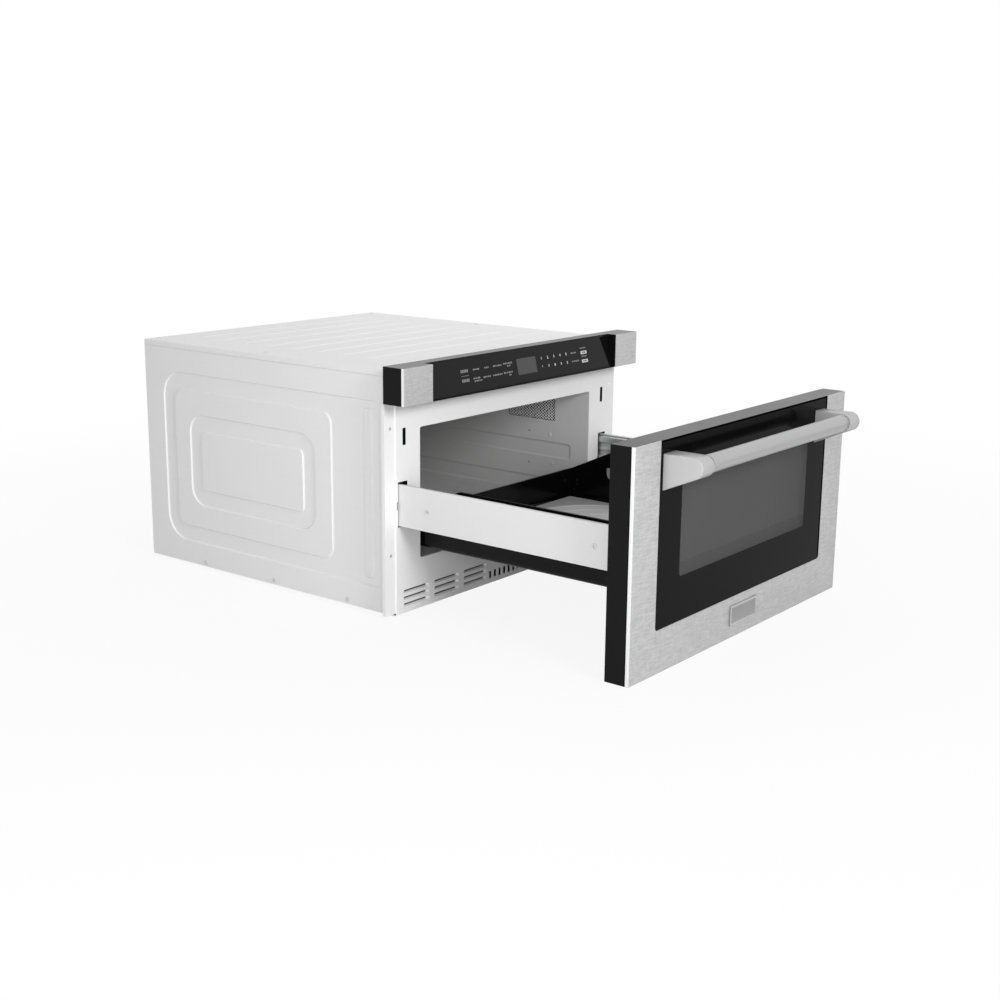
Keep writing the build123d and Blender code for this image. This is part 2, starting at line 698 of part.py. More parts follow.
def cavity_liner():
    """Five-sided steel box, flanged to the front plate, with pressed wall beads."""
    half = CAVITY_W / 2
    rim = LINER_FLANGE
    liner = block(-half - SHEET, half + SHEET, PLATE_T, LINER_BACK, CAVITY_Z - SHEET, CAVITY_TOP + SHEET)
    liner += block(-half - rim, half + rim, PLATE_T, PLATE_T + SHEET, CAVITY_Z - rim, CAVITY_TOP + rim)
    for bead in wall_beads(half + WALL_BEAD_DEEP + SHEET, SHEET, WALL_BEAD_R + SHEET):
        liner += bead
    liner -= block(-half, half, 0, CAVITY_BACK, CAVITY_Z, CAVITY_TOP)
    for bead in wall_beads(half + WALL_BEAD_DEEP, 0.0, WALL_BEAD_R):
        liner -= bead
    liner -= block(half - CUT, half + SHEET + CUT, VENT_FRONT, VENT_REAR, VENT_Z0, VENT_Z1)
    liner -= rod(LAMP_R, (CUT - half, LAMP_Y, LAMP_Z), (-half - SHEET - CUT, LAMP_Y, LAMP_Z))
    x, y = CHAMBER_W / 2 - CHAMBER_LEDGE, CHAMBER_D / 2 - CHAMBER_LEDGE
    return liner - block(-x, x, CHAMBER_Y - y, CHAMBER_Y + y, CAVITY_TOP - CUT, CAVITY_TOP + SHEET + CUT)


def vent_spots():
    """Centres of the vent's staggered holes as (y, z)."""
    row_pitch = VENT_PITCH * math.sqrt(3) / 2
    cols = int((VENT_L - VENT_EDGE) / VENT_PITCH)
    rows = int((VENT_H - VENT_EDGE) / row_pitch)
    spots = []
    for r in range(rows):
        for c in range(cols):
            y = (VENT_FRONT + VENT_REAR) / 2 + (c - cols / 2 + 0.25 + 0.5 * (r % 2)) * VENT_PITCH
            spots.append((y, (VENT_Z0 + VENT_Z1) / 2 + (r - (rows - 1) / 2) * row_pitch))
    return spots


def vent_screen():
    """Perforated plate that fills the vent window in the right cavity wall."""
    half = CAVITY_W / 2
    fit, lap = HOLE_FIT, VENT_LAP
    screen = block(half, half + SHEET, VENT_FRONT + fit, VENT_REAR - fit, VENT_Z0 + fit, VENT_Z1 - fit)
    screen += block(half + SHEET, half + 2 * SHEET, VENT_FRONT - lap, VENT_REAR + lap, VENT_Z0 - lap, VENT_Z1 + lap)
    circles = Sketch() + [Pos(y, z) * Circle(VENT_HOLE_R) for y, z in vent_spots()]
    holes = Plane.YZ.offset(half - CUT) * circles
    return screen - extrude(holes, amount=2 * SHEET + 2 * CUT)


def air_duct():
    """Cooling-air duct along the right of the cavity, from the rear bay to the vent."""
    x0, x1 = LINER_X, RAIL_OUT + DUCT_OUT
    y0, y1 = VENT_FRONT - DUCT_ROOM, LINER_BACK + DUCT_REAR
    z0, z1 = VENT_Z0 - DUCT_ROOM, VENT_Z1 + DUCT_ROOM
    wall = DUCT_WALL
    duct = block(x0, x1, y0, y1, z0, z1)
    duct -= block(x0 + wall, x1 - wall, y0 + wall, y1 + CUT, z0 + wall, z1 - wall)
    return duct - block(x0 - CUT, x0 + wall + CUT, y0 + wall, VENT_REAR + DUCT_ROOM, z0 + wall, z1 - wall)


def cavity_lamp():
    """Lamp body on the left wall with its lens flush in the wall."""
    half = CAVITY_W / 2
    lens = rod(LAMP_R - HOLE_FIT, (-half, LAMP_Y, LAMP_Z), (-half - SHEET, LAMP_Y, LAMP_Z))
    return lens + rod(LAMP_R + LAMP_COLLAR, (-half - SHEET, LAMP_Y, LAMP_Z), (-half - SHEET - LAMP_L, LAMP_Y, LAMP_Z))


def stirrer_cover():
    """Flat cover plate under the ceiling that hides the stirrer."""
    x, y = CHAMBER_W / 2 + COVER_LAP, CHAMBER_D / 2 + COVER_LAP
    return rounded_z(-x, x, CHAMBER_Y - y, CHAMBER_Y + y, CAVITY_TOP - STIR_COVER_T, CAVITY_TOP, STIR_COVER_R)


# ---------------------------------------------------------------- microwave source
MAG_Y = LINER_BACK + MAG_BACK
MAG_TOP = CAVITY_TOP + SHEET
CHAMBER_TOP = MAG_TOP + CHAMBER_H
STIRRER_Z = CAVITY_TOP + STIRRER_LIFT


def waveguide():
    """Duct over the cavity: a square stirrer chamber fed by a channel from the rear."""
    z0, z1 = MAG_TOP, CHAMBER_TOP
    x, y, half = CHAMBER_W / 2, CHAMBER_D / 2, GUIDE_W / 2
    t = GUIDE_T
    end = MAG_Y + GUIDE_END
    guide = block(-x, x, CHAMBER_Y - y, CHAMBER_Y + y, z0, z1)
    guide += block(-half, half, CHAMBER_Y, end, z0, z1)
    guide -= block(t - x, x - t, CHAMBER_Y - y + t, CHAMBER_Y + y - t, z0 - CUT, z1 - t)
    guide -= block(t - half, half - t, CHAMBER_Y, end - t, z0 + t, z1 - t)
    guide -= rod(ANTENNA_R + GUIDE_HOLE, (0, MAG_Y, z0 - CUT), (0, MAG_Y, z0 + t + CUT))
    return guide - rod(STIR_SHAFT_R + STIR_HOLE, (0, CHAMBER_Y, z1 - t - CUT), (0, CHAMBER_Y, z1 + CUT))


def magnetron():
    """Magnetron: box yoke round the anode, antenna up into the waveguide, filter box."""
    x, y, wall = MAG_W / 2, MAG_D / 2, MAG_WALL
    z0, z1 = MAG_TOP - MAG_H, MAG_TOP
    yoke = block(-x, x, MAG_Y - y, MAG_Y + y, z0, z1)
    yoke -= block(wall - x, x - wall, MAG_Y - y - CUT, MAG_Y + y + CUT, z0 + wall, z1 - wall)
    yoke += rod(ANODE_R, (0, MAG_Y, z0 + wall / 2), (0, MAG_Y, z1 - wall / 2))
    yoke += rod(ANTENNA_R, (0, MAG_Y, z1 - wall / 2), (0, MAG_Y, z1 + ANTENNA_H))
    x_in, y_in = FILTER_INSET
    return yoke + block(x_in - x, x - x_in, MAG_Y - y + y_in, MAG_Y + y - y_in, z0 - FILTER_H, z0)


def magnetron_fins():
    """Stack of thin cooling fins pressed on the anode."""
    x = MAG_W / 2 - MAG_WALL - FIN_GAP
    y = MAG_D / 2 - FIN_INSET
    fins = []
    for i in range(FIN_COUNT):
        z = MAG_TOP - FIN_FIRST - i * FIN_PITCH
        fin = block(-x, x, MAG_Y - y, MAG_Y + y, z - FIN_T / 2, z + FIN_T / 2)
        fins.append(fin - rod(ANODE_R, (0, MAG_Y, z - FIN_T), (0, MAG_Y, z + FIN_T)))
    return fins


def stirrer_blade():
    """Aluminium stirrer: tilted vanes round a hub on an upright shaft."""
    blade = rod(STIRRER_HUB_R, (0, 0, -STIRRER_HUB_LOW), (0, 0, STIRRER_HUB_HIGH))
    blade += rod(STIR_SHAFT_R, (0, 0, 0), (0, 0, CHAMBER_TOP - STIRRER_Z + STIR_SHAFT_UP))
    for i in range(VANE_COUNT):
        vane = Rot(VANE_TILT, 0, 0) * Pos(STIRRER_R / 2, 0, 0) * Box(STIRRER_R, VANE_W, VANE_T)
        blade += Rot(0, 0, 360 * i / VANE_COUNT) * vane
    return Pos(0, CHAMBER_Y, STIRRER_Z) * blade


def stirrer_motor():
    """Synchronous motor with a strap, on top of the stirrer chamber."""
    z0 = CHAMBER_TOP
    length, width, thick = STIR_STRAP
    body = rod(STIR_MOTOR_R, (0, CHAMBER_Y, z0), (0, CHAMBER_Y, z0 + STIR_MOTOR_H))
    body += block(-length / 2, length / 2, CHAMBER_Y - width / 2, CHAMBER_Y + width / 2, z0, z0 + thick)
    bore_top = z0 + STIR_SHAFT_UP + CUT
    return body - rod(STIR_SHAFT_R + SHAFT_FIT, (0, CHAMBER_Y, z0 - CUT), (0, CHAMBER_Y, bore_top))


# ---------------------------------------------------------------- rear bay
TRANS_X = TRANS_SIDE - BODY_X
TRANS_Y = LINER_BACK + TRANS_BACK
CORE_Z = SHEET + TRANS_FOOT[2]
FAN_Y = BACK_Y - FAN_FRAME_D


def transformer_core():
    """High-voltage transformer's laminated core on its foot plate."""
    length, width, thick = TRANS_FOOT
    x, y = TRANS_X, TRANS_Y
    core = block(x - length / 2, x + length / 2, y - width / 2, y + width / 2, SHEET, SHEET + thick)
    core += block(x - CORE_W / 2, x + CORE_W / 2, y - CORE_D / 2, y + CORE_D / 2, CORE_Z, CORE_Z + CORE_H)
    for side in (-1, 1):
        x0 = x + side * (CORE_LIMB + CORE_WINDOW) / 2
        core -= block(x0 - CORE_WINDOW / 2, x0 + CORE_WINDOW / 2, y - CORE_D / 2 - CUT, y + CORE_D / 2 + CUT,
                      CORE_Z + CORE_YOKE, CORE_Z + CORE_H - CORE_YOKE)
    return core


def transformer_coils():
    """The two windings round the core's middle limb."""
    x = CORE_LIMB / 2 + CORE_WINDOW
    y = CORE_D / 2
    z0, z1 = CORE_Z + CORE_YOKE, CORE_Z + CORE_H - CORE_YOKE
    split = z0 + COIL_LOW_H
    coils = []
    for low, high in ((z0, split), (split + COIL_GAP, z1)):
        coil = rounded_y(TRANS_X - x, TRANS_X + x, TRANS_Y - y - COIL_OUT, TRANS_Y + y + COIL_OUT, low, high, COIL_R)
        limb = CORE_LIMB / 2
        coils.append(coil - block(TRANS_X - limb, TRANS_X + limb, TRANS_Y - y, TRANS_Y + y, low - CUT, high + CUT))
    return coils


def capacitor():
    """High-voltage capacitor can with two posts, standing on the base."""
    x, y = CAP_SIDE - BODY_X, LINER_BACK + CAP_BACK
    top = SHEET + CAP_H
    can = rounded_z(x - CAP_W / 2, x + CAP_W / 2, y - CAP_D / 2, y + CAP_D / 2, SHEET, top, CAP_R)
    for side in (-1, 1):
        post_y = y + side * CAP_POST_PITCH / 2
        can += rod(CAP_POST_R, (x, post_y, top), (x, post_y, top + CAP_POST_H))
    return can


def power_board():
    """Power board on standoffs at the back panel, with relays, a choke and a filter."""
    x0, z0 = BOARD_SIDE - BODY_X, BOARD_Z
    x1, z1 = x0 + BOARD_W, z0 + BOARD_H
    back = BACK_Y - BOARD_OFF
    face = back - BOARD_T
    inset = BOARD_POST_INSET
    board = block(x0, x1, face, back, z0, z1)
    for x in (x0 + inset, x1 - inset):
        for z in (z0 + inset, z1 - inset):
            board += rod(BOARD_POST_R, (x, back, z), (x, BACK_Y, z))
    wide, deep, high = RELAY
    for i in range(RELAY_COUNT):
        x, z = x0 + RELAY_AT[0] + i * RELAY_PITCH, z0 + RELAY_AT[1]
        board += block(x, x + wide, face - deep, face, z, z + high)
    radius, deep, right, down = COIL_CHOKE
    board += rod(radius, (x0 + right, face - deep, z1 - down), (x0 + right, face, z1 - down))
    wide, deep, high, right, down = MAINS_FILTER
    return board + block(x1 - right - wide, x1 - right, face - deep, face, z1 - down - high, z1 - down)


def cord_gland():
    """Strain-relief bush in the back panel, with its empty cord hole."""
    def ring(radius, y0, y1):
        return rod(radius, (GLAND_X, y0, GLAND_Z), (GLAND_X, y1, GLAND_Z))
    bush = ring(GLAND_R, BACK_Y, BODY_D)
    bush += ring(GLAND_R + GLAND_COLLAR, BACK_Y - GLAND_LIP, BACK_Y)
    bush += ring(GLAND_R + GLAND_COLLAR, BODY_D, BODY_D + GLAND_LIP)
    return bush - ring(GLAND_BORE, BACK_Y - GLAND_LIP - CUT, BODY_D + GLAND_LIP + CUT)


def fan_shroud():
    """Square fan frame on the back panel."""
    half = FAN_FRAME / 2
    frame = rounded_y(FAN_X - half, FAN_X + half, FAN_Y, BACK_Y, FAN_Z - half, FAN_Z + half, FAN_FRAME_R)
    return frame - rod(FAN_R + FAN_TIP_GAP, (FAN_X, FAN_Y - CUT, FAN_Z), (FAN_X, BACK_Y + CUT, FAN_Z))


def fan_motor():
    """Shaded-pole motor carried across the fan frame by a strap."""
    high, thick = FAN_ARM
    half = FAN_FRAME / 2
    front = FAN_Y - FAN_MOTOR_L
    motor = rod(FAN_MOTOR_R, (FAN_X, front, FAN_Z), (FAN_X, FAN_Y - thick, FAN_Z))
    motor += block(FAN_X - half, FAN_X + half, FAN_Y - thick, FAN_Y, FAN_Z - high / 2, FAN_Z + high / 2)
    wide, deep, tall, start = FAN_STACK
    motor += block(FAN_X - wide / 2, FAN_X + wide / 2, front + start, front + start + deep,
                   FAN_Z - tall / 2, FAN_Z + tall / 2)
    return motor - rod(FAN_SHAFT_R + SHAFT_FIT, (FAN_X, front + FAN_BORE_END, FAN_Z), (FAN_X, FAN_Y + CUT, FAN_Z))


def fan_blade():
    """Axial fan: tilted blades round a hub on a short shaft."""
    front, rear = FAN_Y + FAN_HUB_GAP, FAN_Y + FAN_HUB_GAP + FAN_HUB_L
    blade = rod(FAN_HUB_R, (FAN_X, front, FAN_Z), (FAN_X, rear, FAN_Z))
    blade += rod(FAN_SHAFT_R, (FAN_X, front - FAN_SHAFT_L, FAN_Z), (FAN_X, front + CUT, FAN_Z))
    length = FAN_R - FAN_BLADE_IN
    root = FAN_BLADE_IN - CUT
    for i in range(FAN_BLADES):
        vane = Rot(0, 0, FAN_BLADE_TILT) * Pos(0, 0, root + length / 2) * Box(FAN_BLADE_W, FAN_BLADE_T, length)
        blade += Pos(FAN_X, (front + rear) / 2, FAN_Z) * Rot(0, 360 * i / FAN_BLADES, 0) * vane
    return blade


# ---------------------------------------------------------------- slides and rails
SLIDE_Y = PLATE_T + SLIDE_FRONT
SLIDE_Z0 = SLIDE_Z - SLIDE_H / 2
SLIDE_Z1 = SLIDE_Z + SLIDE_H / 2
NEST = SLIDE_T + RUN_GAP    # how far each slide member lies inside the next


def channel(web, lip, y0, y1, z0, z1):
    """A straight channel from its web's outer face, with lips of a width (signed)."""
    t = math.copysign(SLIDE_T, lip)
    body = block(*sorted((web, web + t)), y0, y1, z0, z1)
    for low in (z0, z1 - SLIDE_T):
        body += block(*sorted((web, web + lip)), y0, y1, low, low + SLIDE_T)
    return body


def slide_fixed():
    """Fixed member of the right slide, open outwards."""
    return channel(FIXED_X, FIXED_LIP, SLIDE_Y, SLIDE_Y + SLIDE_L, SLIDE_Z0, SLIDE_Z1)


def slide_middle():
    """Middle member of the right slide, with a stepped web, half-way out."""
    z0, z1 = SLIDE_Z0 + NEST, SLIDE_Z1 - NEST
    y0 = SLIDE_Y - TRAVEL / 2
    y1 = y0 + SLIDE_L
    x0, t = FIXED_X + NEST, SLIDE_T
    web = x0 + MIDDLE_STEP
    body = block(web, web + t, y0, y1, z0 + MIDDLE_RACE - t, z1 - MIDDLE_RACE + t)
    for low, race, step in ((z0, z0, z0 + MIDDLE_RACE - t), (z1 - t, z1 - MIDDLE_RACE, z1 - MIDDLE_RACE)):
        body += block(x0, x0 + MIDDLE_LIP, y0, y1, low, low + t)
        body += block(x0, x0 + t, y0, y1, race, race + MIDDLE_RACE)
        body += block(x0, web + t, y0, y1, step, step + t)
    return body


def rail_screw_spots():
    """Where the right rail's screws sit."""
    return [(RAIL_OUT, DOOR_BACK + y, RAIL_SCREW_Z) for y in RAIL_SCREW_AT]


def slide_moving():
    """Moving member of the right slide, screwed to the rail, open inwards."""
    front, rear = MOVING_INSET
    member = channel(RAIL_IN, -MOVING_LIP, DOOR_BACK + front, RAIL_STAY - rear,
                     SLIDE_Z0 + 2 * NEST, SLIDE_Z1 - 2 * NEST)
    for spot in rail_screw_spots():
        member -= screw_hole(spot, (1, 0, 0))
    return member


def slide_brackets():
    """Four folded brackets that hold the fixed members off the cavity walls."""
    low, high = BRACKET_TRIM
    z0, z1 = SLIDE_Z0 + low, SLIDE_Z1 - high
    t = SLIDE_T
    parts = []
    for y in (PLATE_T + BRACKET_FRONT, CAVITY_BACK - BRACKET_REAR):
        mid = y + (BRACKET_L - t) / 2
        piece = block(LINER_X, LINER_X + t, y, y + BRACKET_L, z0, z1)
        piece += block(LINER_X, FIXED_X, mid, mid + t, z0, z1)
        piece += block(FIXED_X - t, FIXED_X, y, y + BRACKET_L, z0, z1)
        parts += [piece, other_side(piece)]
    return parts


def side_rail():
    """Right side rail: tall white sheet with a folded foot at the door."""
    z1 = RAIL_Z + RAIL_H
    rail = block(RAIL_IN, RAIL_OUT, DOOR_BACK, RAIL_STAY, RAIL_Z, z1)
    rail += block(RAIL_OUT - RAIL_FOOT, RAIL_OUT, DOOR_BACK, DOOR_BACK + SLIDE_T, RAIL_Z, z1)
    for spot in rail_screw_spots():
        rail -= screw_hole(spot, (1, 0, 0))
    return rail


def rail_screws():
    """Short screws that fix the rails to the slides' moving members."""
    parts = []
    for x, y, z in rail_screw_spots():
        one = rod(SCREW_HEAD_R, (x, y, z), (x + SCREW_HEAD_H, y, z))
        one += rod(SCREW_R, (x - 2 * SLIDE_T, y, z), (x, y, z))
        parts += [one, other_side(one)]
    return parts


# ---------------------------------------------------------------- rack drive
PINION_R = GEAR_M * PINION_TEETH / 2
PINION_Y = PINION_BACK
PINION_Z = PITCH_Z - PINION_R
PINION_X = RAIL_IN - RACK_W / 2 - GEAR_W / 2
TOOTH_PITCH = math.pi * GEAR_M
TOOTH_HALF = (TOOTH_PITCH / 2 - BACKLASH) / 2


def drive_rack():
    """Toothed rack under the right slide, teeth down, with a gap over the pinion's axis."""
    tip, root = PITCH_Z - GEAR_M, PITCH_Z + ROOT_DEPTH * GEAR_M
    lean = math.tan(PRESSURE)
    wide, narrow = TOOTH_HALF + lean * ROOT_DEPTH * GEAR_M, TOOTH_HALF - lean * GEAR_M
    front, rear = RACK_INSET
    first = math.ceil((DOOR_BACK + front - PINION_Y) / TOOTH_PITCH)
    last = math.floor((RAIL_STAY - rear - PINION_Y) / TOOTH_PITCH)
    y0, y1 = PINION_Y + first * TOOTH_PITCH, PINION_Y + last * TOOTH_PITCH
    points = [(y0, root + RACK_H), (y0, root)]
    for i in range(last - first):
        mid = y0 + (i + 0.5) * TOOTH_PITCH
        points += [(mid - wide, root), (mid - narrow, tip), (mid + narrow, tip), (mid + wide, root)]
    points += [(y1, root), (y1, root + RACK_H)]
    return prism_x(points, RAIL_IN - RACK_W, RAIL_IN)


def drive_pinion():
    """Involute pinion with its shaft, meshing with the rack from below."""
    base = PINION_R * math.cos(PRESSURE)
    tip, root = PINION_R + GEAR_M, PINION_R - ROOT_DEPTH * GEAR_M
    at_pitch = math.tan(PRESSURE) - PRESSURE
    steps = 5
    flank = []
    for i in range(steps):
        r = base + (tip - base) * i / (steps - 1)
        roll = math.acos(min(1.0, base / r))
        flank.append((r, TOOTH_HALF / PINION_R + at_pitch - (math.tan(roll) - roll)))
    flank.insert(0, (root, flank[0][1]))
    points = []
    for k in range(PINION_TEETH):
        mid = math.pi / 2 - 2 * math.pi * k / PINION_TEETH
        turns = [(r, mid + a) for r, a in flank] + [(r, mid - a) for r, a in reversed(flank)]
        points += [(PINION_Y + r * math.cos(a), PINION_Z + r * math.sin(a)) for r, a in turns]
    gear = prism_x(points, PINION_X, PINION_X + GEAR_W)
    return gear + rod(SHAFT_R, (PINION_X - PINION_SHAFT, PINION_Y, PINION_Z), (PINION_X, PINION_Y, PINION_Z))


def drive_motor():
    """Gear motor on the right cavity wall: gearbox, motor can and shaft bore."""
    x0, x1 = LINER_X + GEARBOX_STANDOFF, PINION_X - GEARBOX_GAP
    y0, y1 = GEARBOX_FRONT, GEARBOX_FRONT + GEARBOX_L
    top = PITCH_Z + GEARBOX_HIGH
    box = block(x0, x1, y0, y1, PINION_Z - GEARBOX_LOW, top)
    box += block(LINER_X, x0, y0, y0 + GEARBOX_PAD, PINION_Z - GEARBOX_PAD_LOW, top)
    can_x, can_z = (x0 + x1) / 2, PINION_Z - CAN_DROP
    box += rod(CAN_R, (can_x, y1, can_z), (can_x, y1 + CAN_L, can_z))
    return box - rod(SHAFT_R + SHAFT_FIT, (PINION_X - PINION_SHAFT - CUT, PINION_Y, PINION_Z),
                     (x1 + CUT, PINION_Y, PINION_Z))


# ---------------------------------------------------------------- latches
HOUSING_TOP = LATCH_Z + LATCH_SLOT_H / 2 + LATCH_RIM


def latch_housing():
    """Right latch housing behind the front plate, with the hook's channel."""
    wide, high = LATCH_ROOM
    half_w, half_h = LATCH_SLOT_W / 2 + wide, LATCH_SLOT_H / 2 + high
    y1 = PLATE_T + LATCH_L
    low = LATCH_Z - LATCH_SLOT_H / 2 - LATCH_RIM
    body = block(LATCH_X - LATCH_WALL, LATCH_X + LATCH_WALL, PLATE_T, y1, low, HOUSING_TOP)
    return body - block(LATCH_X - half_w, LATCH_X + half_w, PLATE_T - CUT, y1 - LATCH_END,
                        LATCH_Z - half_h, LATCH_Z + half_h)


def interlock_switches():
    """Two small switches on top of each latch housing."""
    parts = []
    for i in range(2):
        y = PLATE_T + SWITCH_FRONT + i * SWITCH_PITCH
        one = block(LATCH_X - SWITCH_W / 2, LATCH_X + SWITCH_W / 2, y, y + SWITCH_L,
                    HOUSING_TOP, HOUSING_TOP + SWITCH_H)
        parts += [one, other_side(one)]
    return parts


def latch_hook():
    """Right latch hook on the back of the door, with a hooked end."""
    z0, z1 = LATCH_Z - HOOK_H / 2, LATCH_Z + HOOK_H / 2
    y0, y1 = DOOR_BACK, DOOR_BACK + HOOK_L
    neck, bevel = HOOK_NECK, HOOK_BEVEL
    outline = [(y0, z0), (y1 - bevel, z0), (y1, z0 + bevel), (y1, z1 - bevel), (y1 - 2 * bevel, z1)]
    outline += [(y1 - HOOK_HEAD, z1), (y1 - HOOK_HEAD, z1 - neck), (y0 + neck, z1 - neck), (y0, z1)]
    return prism_x(outline, LATCH_X - HOOK_T / 2, LATCH_X + HOOK_T / 2)


# ---------------------------------------------------------------- control panel
END_X = DOOR_X - CONTROL_END
FACE_Y = -CONTROL_D
GLASS_LOW = CONTROL_Z + GLASS_RIM
GLASS_HIGH = CONTROL_TOP - GLASS_RIM


def slope(depth, z):
    """Y of the sloping face at a height, moved back by a depth."""
    foot = CONTROL_Z + CONTROL_LEDGE
    share = (z - foot) / (CONTROL_TOP - foot)
    return FACE_Y + GLASS_FOOT_BACK + (GLASS_TOP_BACK - GLASS_FOOT_BACK) * share + depth


def slanted(front, back, z0, z1, x0, x1):
    """A solid along X between two depths behind the sloping face."""
    outline = [(slope(front, z0), z0), (slope(back, z0), z0), (slope(back, z1), z1), (slope(front, z1), z1)]
    return prism_x(outline, x0, x1)


def control_housing():
    """Black housing: two end blocks joined by a body with a sloping front."""
    y0, wall = FACE_Y + SKIN_T, CONTROL_WALL
    body = block(-DOOR_X, DOOR_X, y0, 0, CONTROL_Z, CONTROL_TOP)
    for side in (-1, 1):
        body -= side_block(side, DOOR_X - SKIN_T, DOOR_X + CUT, y0 - CUT, FACE_Y + CAP_RETURN,
                           CONTROL_Z - CUT, CONTROL_TOP + CUT)
        body -= side_block(side, END_X + wall, DOOR_X - SKIN_T - wall, y0 + wall, CUT,
                           CONTROL_Z + wall, CONTROL_TOP - wall)
    body -= slanted(-CONTROL_D, 0, CONTROL_Z + CONTROL_LEDGE, CONTROL_TOP + CUT, -END_X, END_X)
    body -= slanted(-CUT, CONTROL_GLASS_T, GLASS_LOW, GLASS_HIGH, GLASS_END - END_X, END_X - GLASS_END)
    z0, z1 = GLASS_LOW + GLASS_SEAT, GLASS_HIGH - GLASS_SEAT
    deep = CONTROL_GLASS_T + wall
    body -= slanted(deep, CONTROL_D - deep, z0, z1, wall - END_X, END_X - wall)
    half = DISPLAY_W / 2 + DISPLAY_ROOM
    return body - slanted(-CUT, deep + CUT, z0, z1, DISPLAY_X - half, DISPLAY_X + half)


def control_cap():
    """Right stainless end cap, folded round the block's outer corner."""
    cap = block(END_X, DOOR_X, FACE_Y, FACE_Y + SKIN_T, CONTROL_Z, CONTROL_TOP)
    return cap + block(DOOR_X - SKIN_T, DOOR_X, FACE_Y, FACE_Y + CAP_RETURN, CONTROL_Z, CONTROL_TOP)


def control_glass():
    """Sloping touch glass between the end blocks."""
    x = END_X - GLASS_END - HOLE_FIT
    return slanted(0, CONTROL_GLASS_T, GLASS_LOW + HOLE_FIT, GLASS_HIGH - HOLE_FIT, -x, x)


def display_module():
    """Display block behind the glass."""
    mid = CONTROL_Z + CONTROL_H / 2
    return slanted(CONTROL_GLASS_T, CONTROL_GLASS_T + DISPLAY_T, mid - DISPLAY_H / 2, mid + DISPLAY_H / 2,
                   DISPLAY_X - DISPLAY_W / 2, DISPLAY_X + DISPLAY_W / 2)


# ---------------------------------------------------------------- door
FRAME_FRONT = DOOR_FRONT + SKIN_T
FRAME_BACK = DOOR_BACK - PANEL_T
RETURN_Y = DOOR_FRONT + SKIN_RETURN
GLASS_FRONT = DOOR_FRONT + GLASS_SINK
GLASS_BACK = GLASS_FRONT + GLASS_T
WINDOW_X = WINDOW_W / 2
WINDOW_Z0 = GLASS_Z + WINDOW_SILL
WINDOW_Z1 = WINDOW_Z0 + WINDOW_H


def door_frame():
    """Black moulded frame of the door, hollow from behind, with the window hole."""
    x, z0, z1, wall = DOOR_X, DOOR_Z, DOOR_TOP, DOOR_WALL
    frame = block(-x, x, FRAME_FRONT, FRAME_BACK, z0, z1)
    frame -= block(-GLASS_X, GLASS_X, FRAME_FRONT - CUT, GLASS_BACK, GLASS_Z, z1 - GLASS_TOP_RIM)
    frame -= block(-x, x, FRAME_FRONT - CUT, RETURN_Y, z0 - CUT, z0 + SKIN_T)
    for side in (-1, 1):
        frame -= side_block(side, x - SKIN_T, x + CUT, FRAME_FRONT - CUT, RETURN_Y, z0 - CUT, z1 + CUT)
    front_wall = GLASS_BACK + wall
    hollow = block(wall - x, x - wall, front_wall, FRAME_BACK + CUT, z0 + wall, z1 - wall)
    hollow -= block(-WINDOW_X - wall, WINDOW_X + wall, front_wall - CUT, FRAME_BACK + 2 * CUT,
                    WINDOW_Z0 - wall, WINDOW_Z1 + wall)
    frame -= hollow
    frame -= block(-WINDOW_X, WINDOW_X, FRAME_FRONT - CUT, FRAME_BACK + CUT, WINDOW_Z0, WINDOW_Z1)
    lap = SCREEN_LAP
    return frame - block(-WINDOW_X - lap, WINDOW_X + lap, GLASS_BACK - CUT, GLASS_BACK + SCREEN_T,
                         WINDOW_Z0 - lap, WINDOW_Z1 + lap)


def door_skin():
    """Stainless face: two side bands and a lower band, folded round the edges."""
    x, z0, z1 = DOOR_X, DOOR_Z, DOOR_TOP
    skin = block(-x, x, DOOR_FRONT, RETURN_Y, z0, z1)
    skin -= block(SKIN_T - x, x - SKIN_T, FRAME_FRONT, RETURN_Y + CUT, z0 + SKIN_T, z1 + CUT)
    return skin - block(-GLASS_X, GLASS_X, DOOR_FRONT - CUT, FRAME_FRONT + CUT, GLASS_Z, z1 + CUT)


def door_glass():
    """Outer door glass."""
    gap = GLASS_GAP
    return block(gap - GLASS_X, GLASS_X - gap, GLASS_FRONT, GLASS_BACK, GLASS_Z + gap, DOOR_TOP - GLASS_TOP_RIM - gap)


def window_screen():
    """Perforated screen sheet behind the glass."""
    lap = SCREEN_LAP - HOLE_FIT
    return block(-WINDOW_X - lap, WINDOW_X + lap, GLASS_BACK, GLASS_BACK + SCREEN_T, WINDOW_Z0 - lap, WINDOW_Z1 + lap)


def inner_panel():
    """Steel panel that closes the back of the door."""
    x, inset = DOOR_X - PANEL_INSET, PANEL_INSET
    return rounded_y(-x, x, FRAME_BACK, DOOR_BACK, DOOR_Z + inset, DOOR_TOP - inset, PANEL_R)


def door_seal():
    """Flat seal round the pan on the back of the door."""
    half, z0, z1 = CAVITY_W / 2 + SEAL_ROOM, CAVITY_Z - SEAL_ROOM, CAVITY_TOP + SEAL_ROOM
    y0, y1, w = DOOR_BACK, DOOR_BACK + SEAL_T, SEAL_W
    ring = rounded_y(-half - w, half + w, y0, y1, z0 - w, z1 + w, SEAL_R)
    return ring - rounded_y(-half, half, y0 - CUT, y1 + CUT, z0, z1, OPENING_R)


def badge_plate():
    """Bare badge: a shallow tray with a raised border."""
    x, z, rim = BADGE_W / 2, BADGE_H / 2, BADGE_RIM
    plate = block(-x, x, DOOR_FRONT - BADGE_T, DOOR_FRONT, BADGE_Z - z, BADGE_Z + z)
    return plate - block(rim - x, x - rim, DOOR_FRONT - BADGE_T - CUT, DOOR_FRONT - BADGE_T / 2,
                         BADGE_Z - z + rim, BADGE_Z + z - rim)


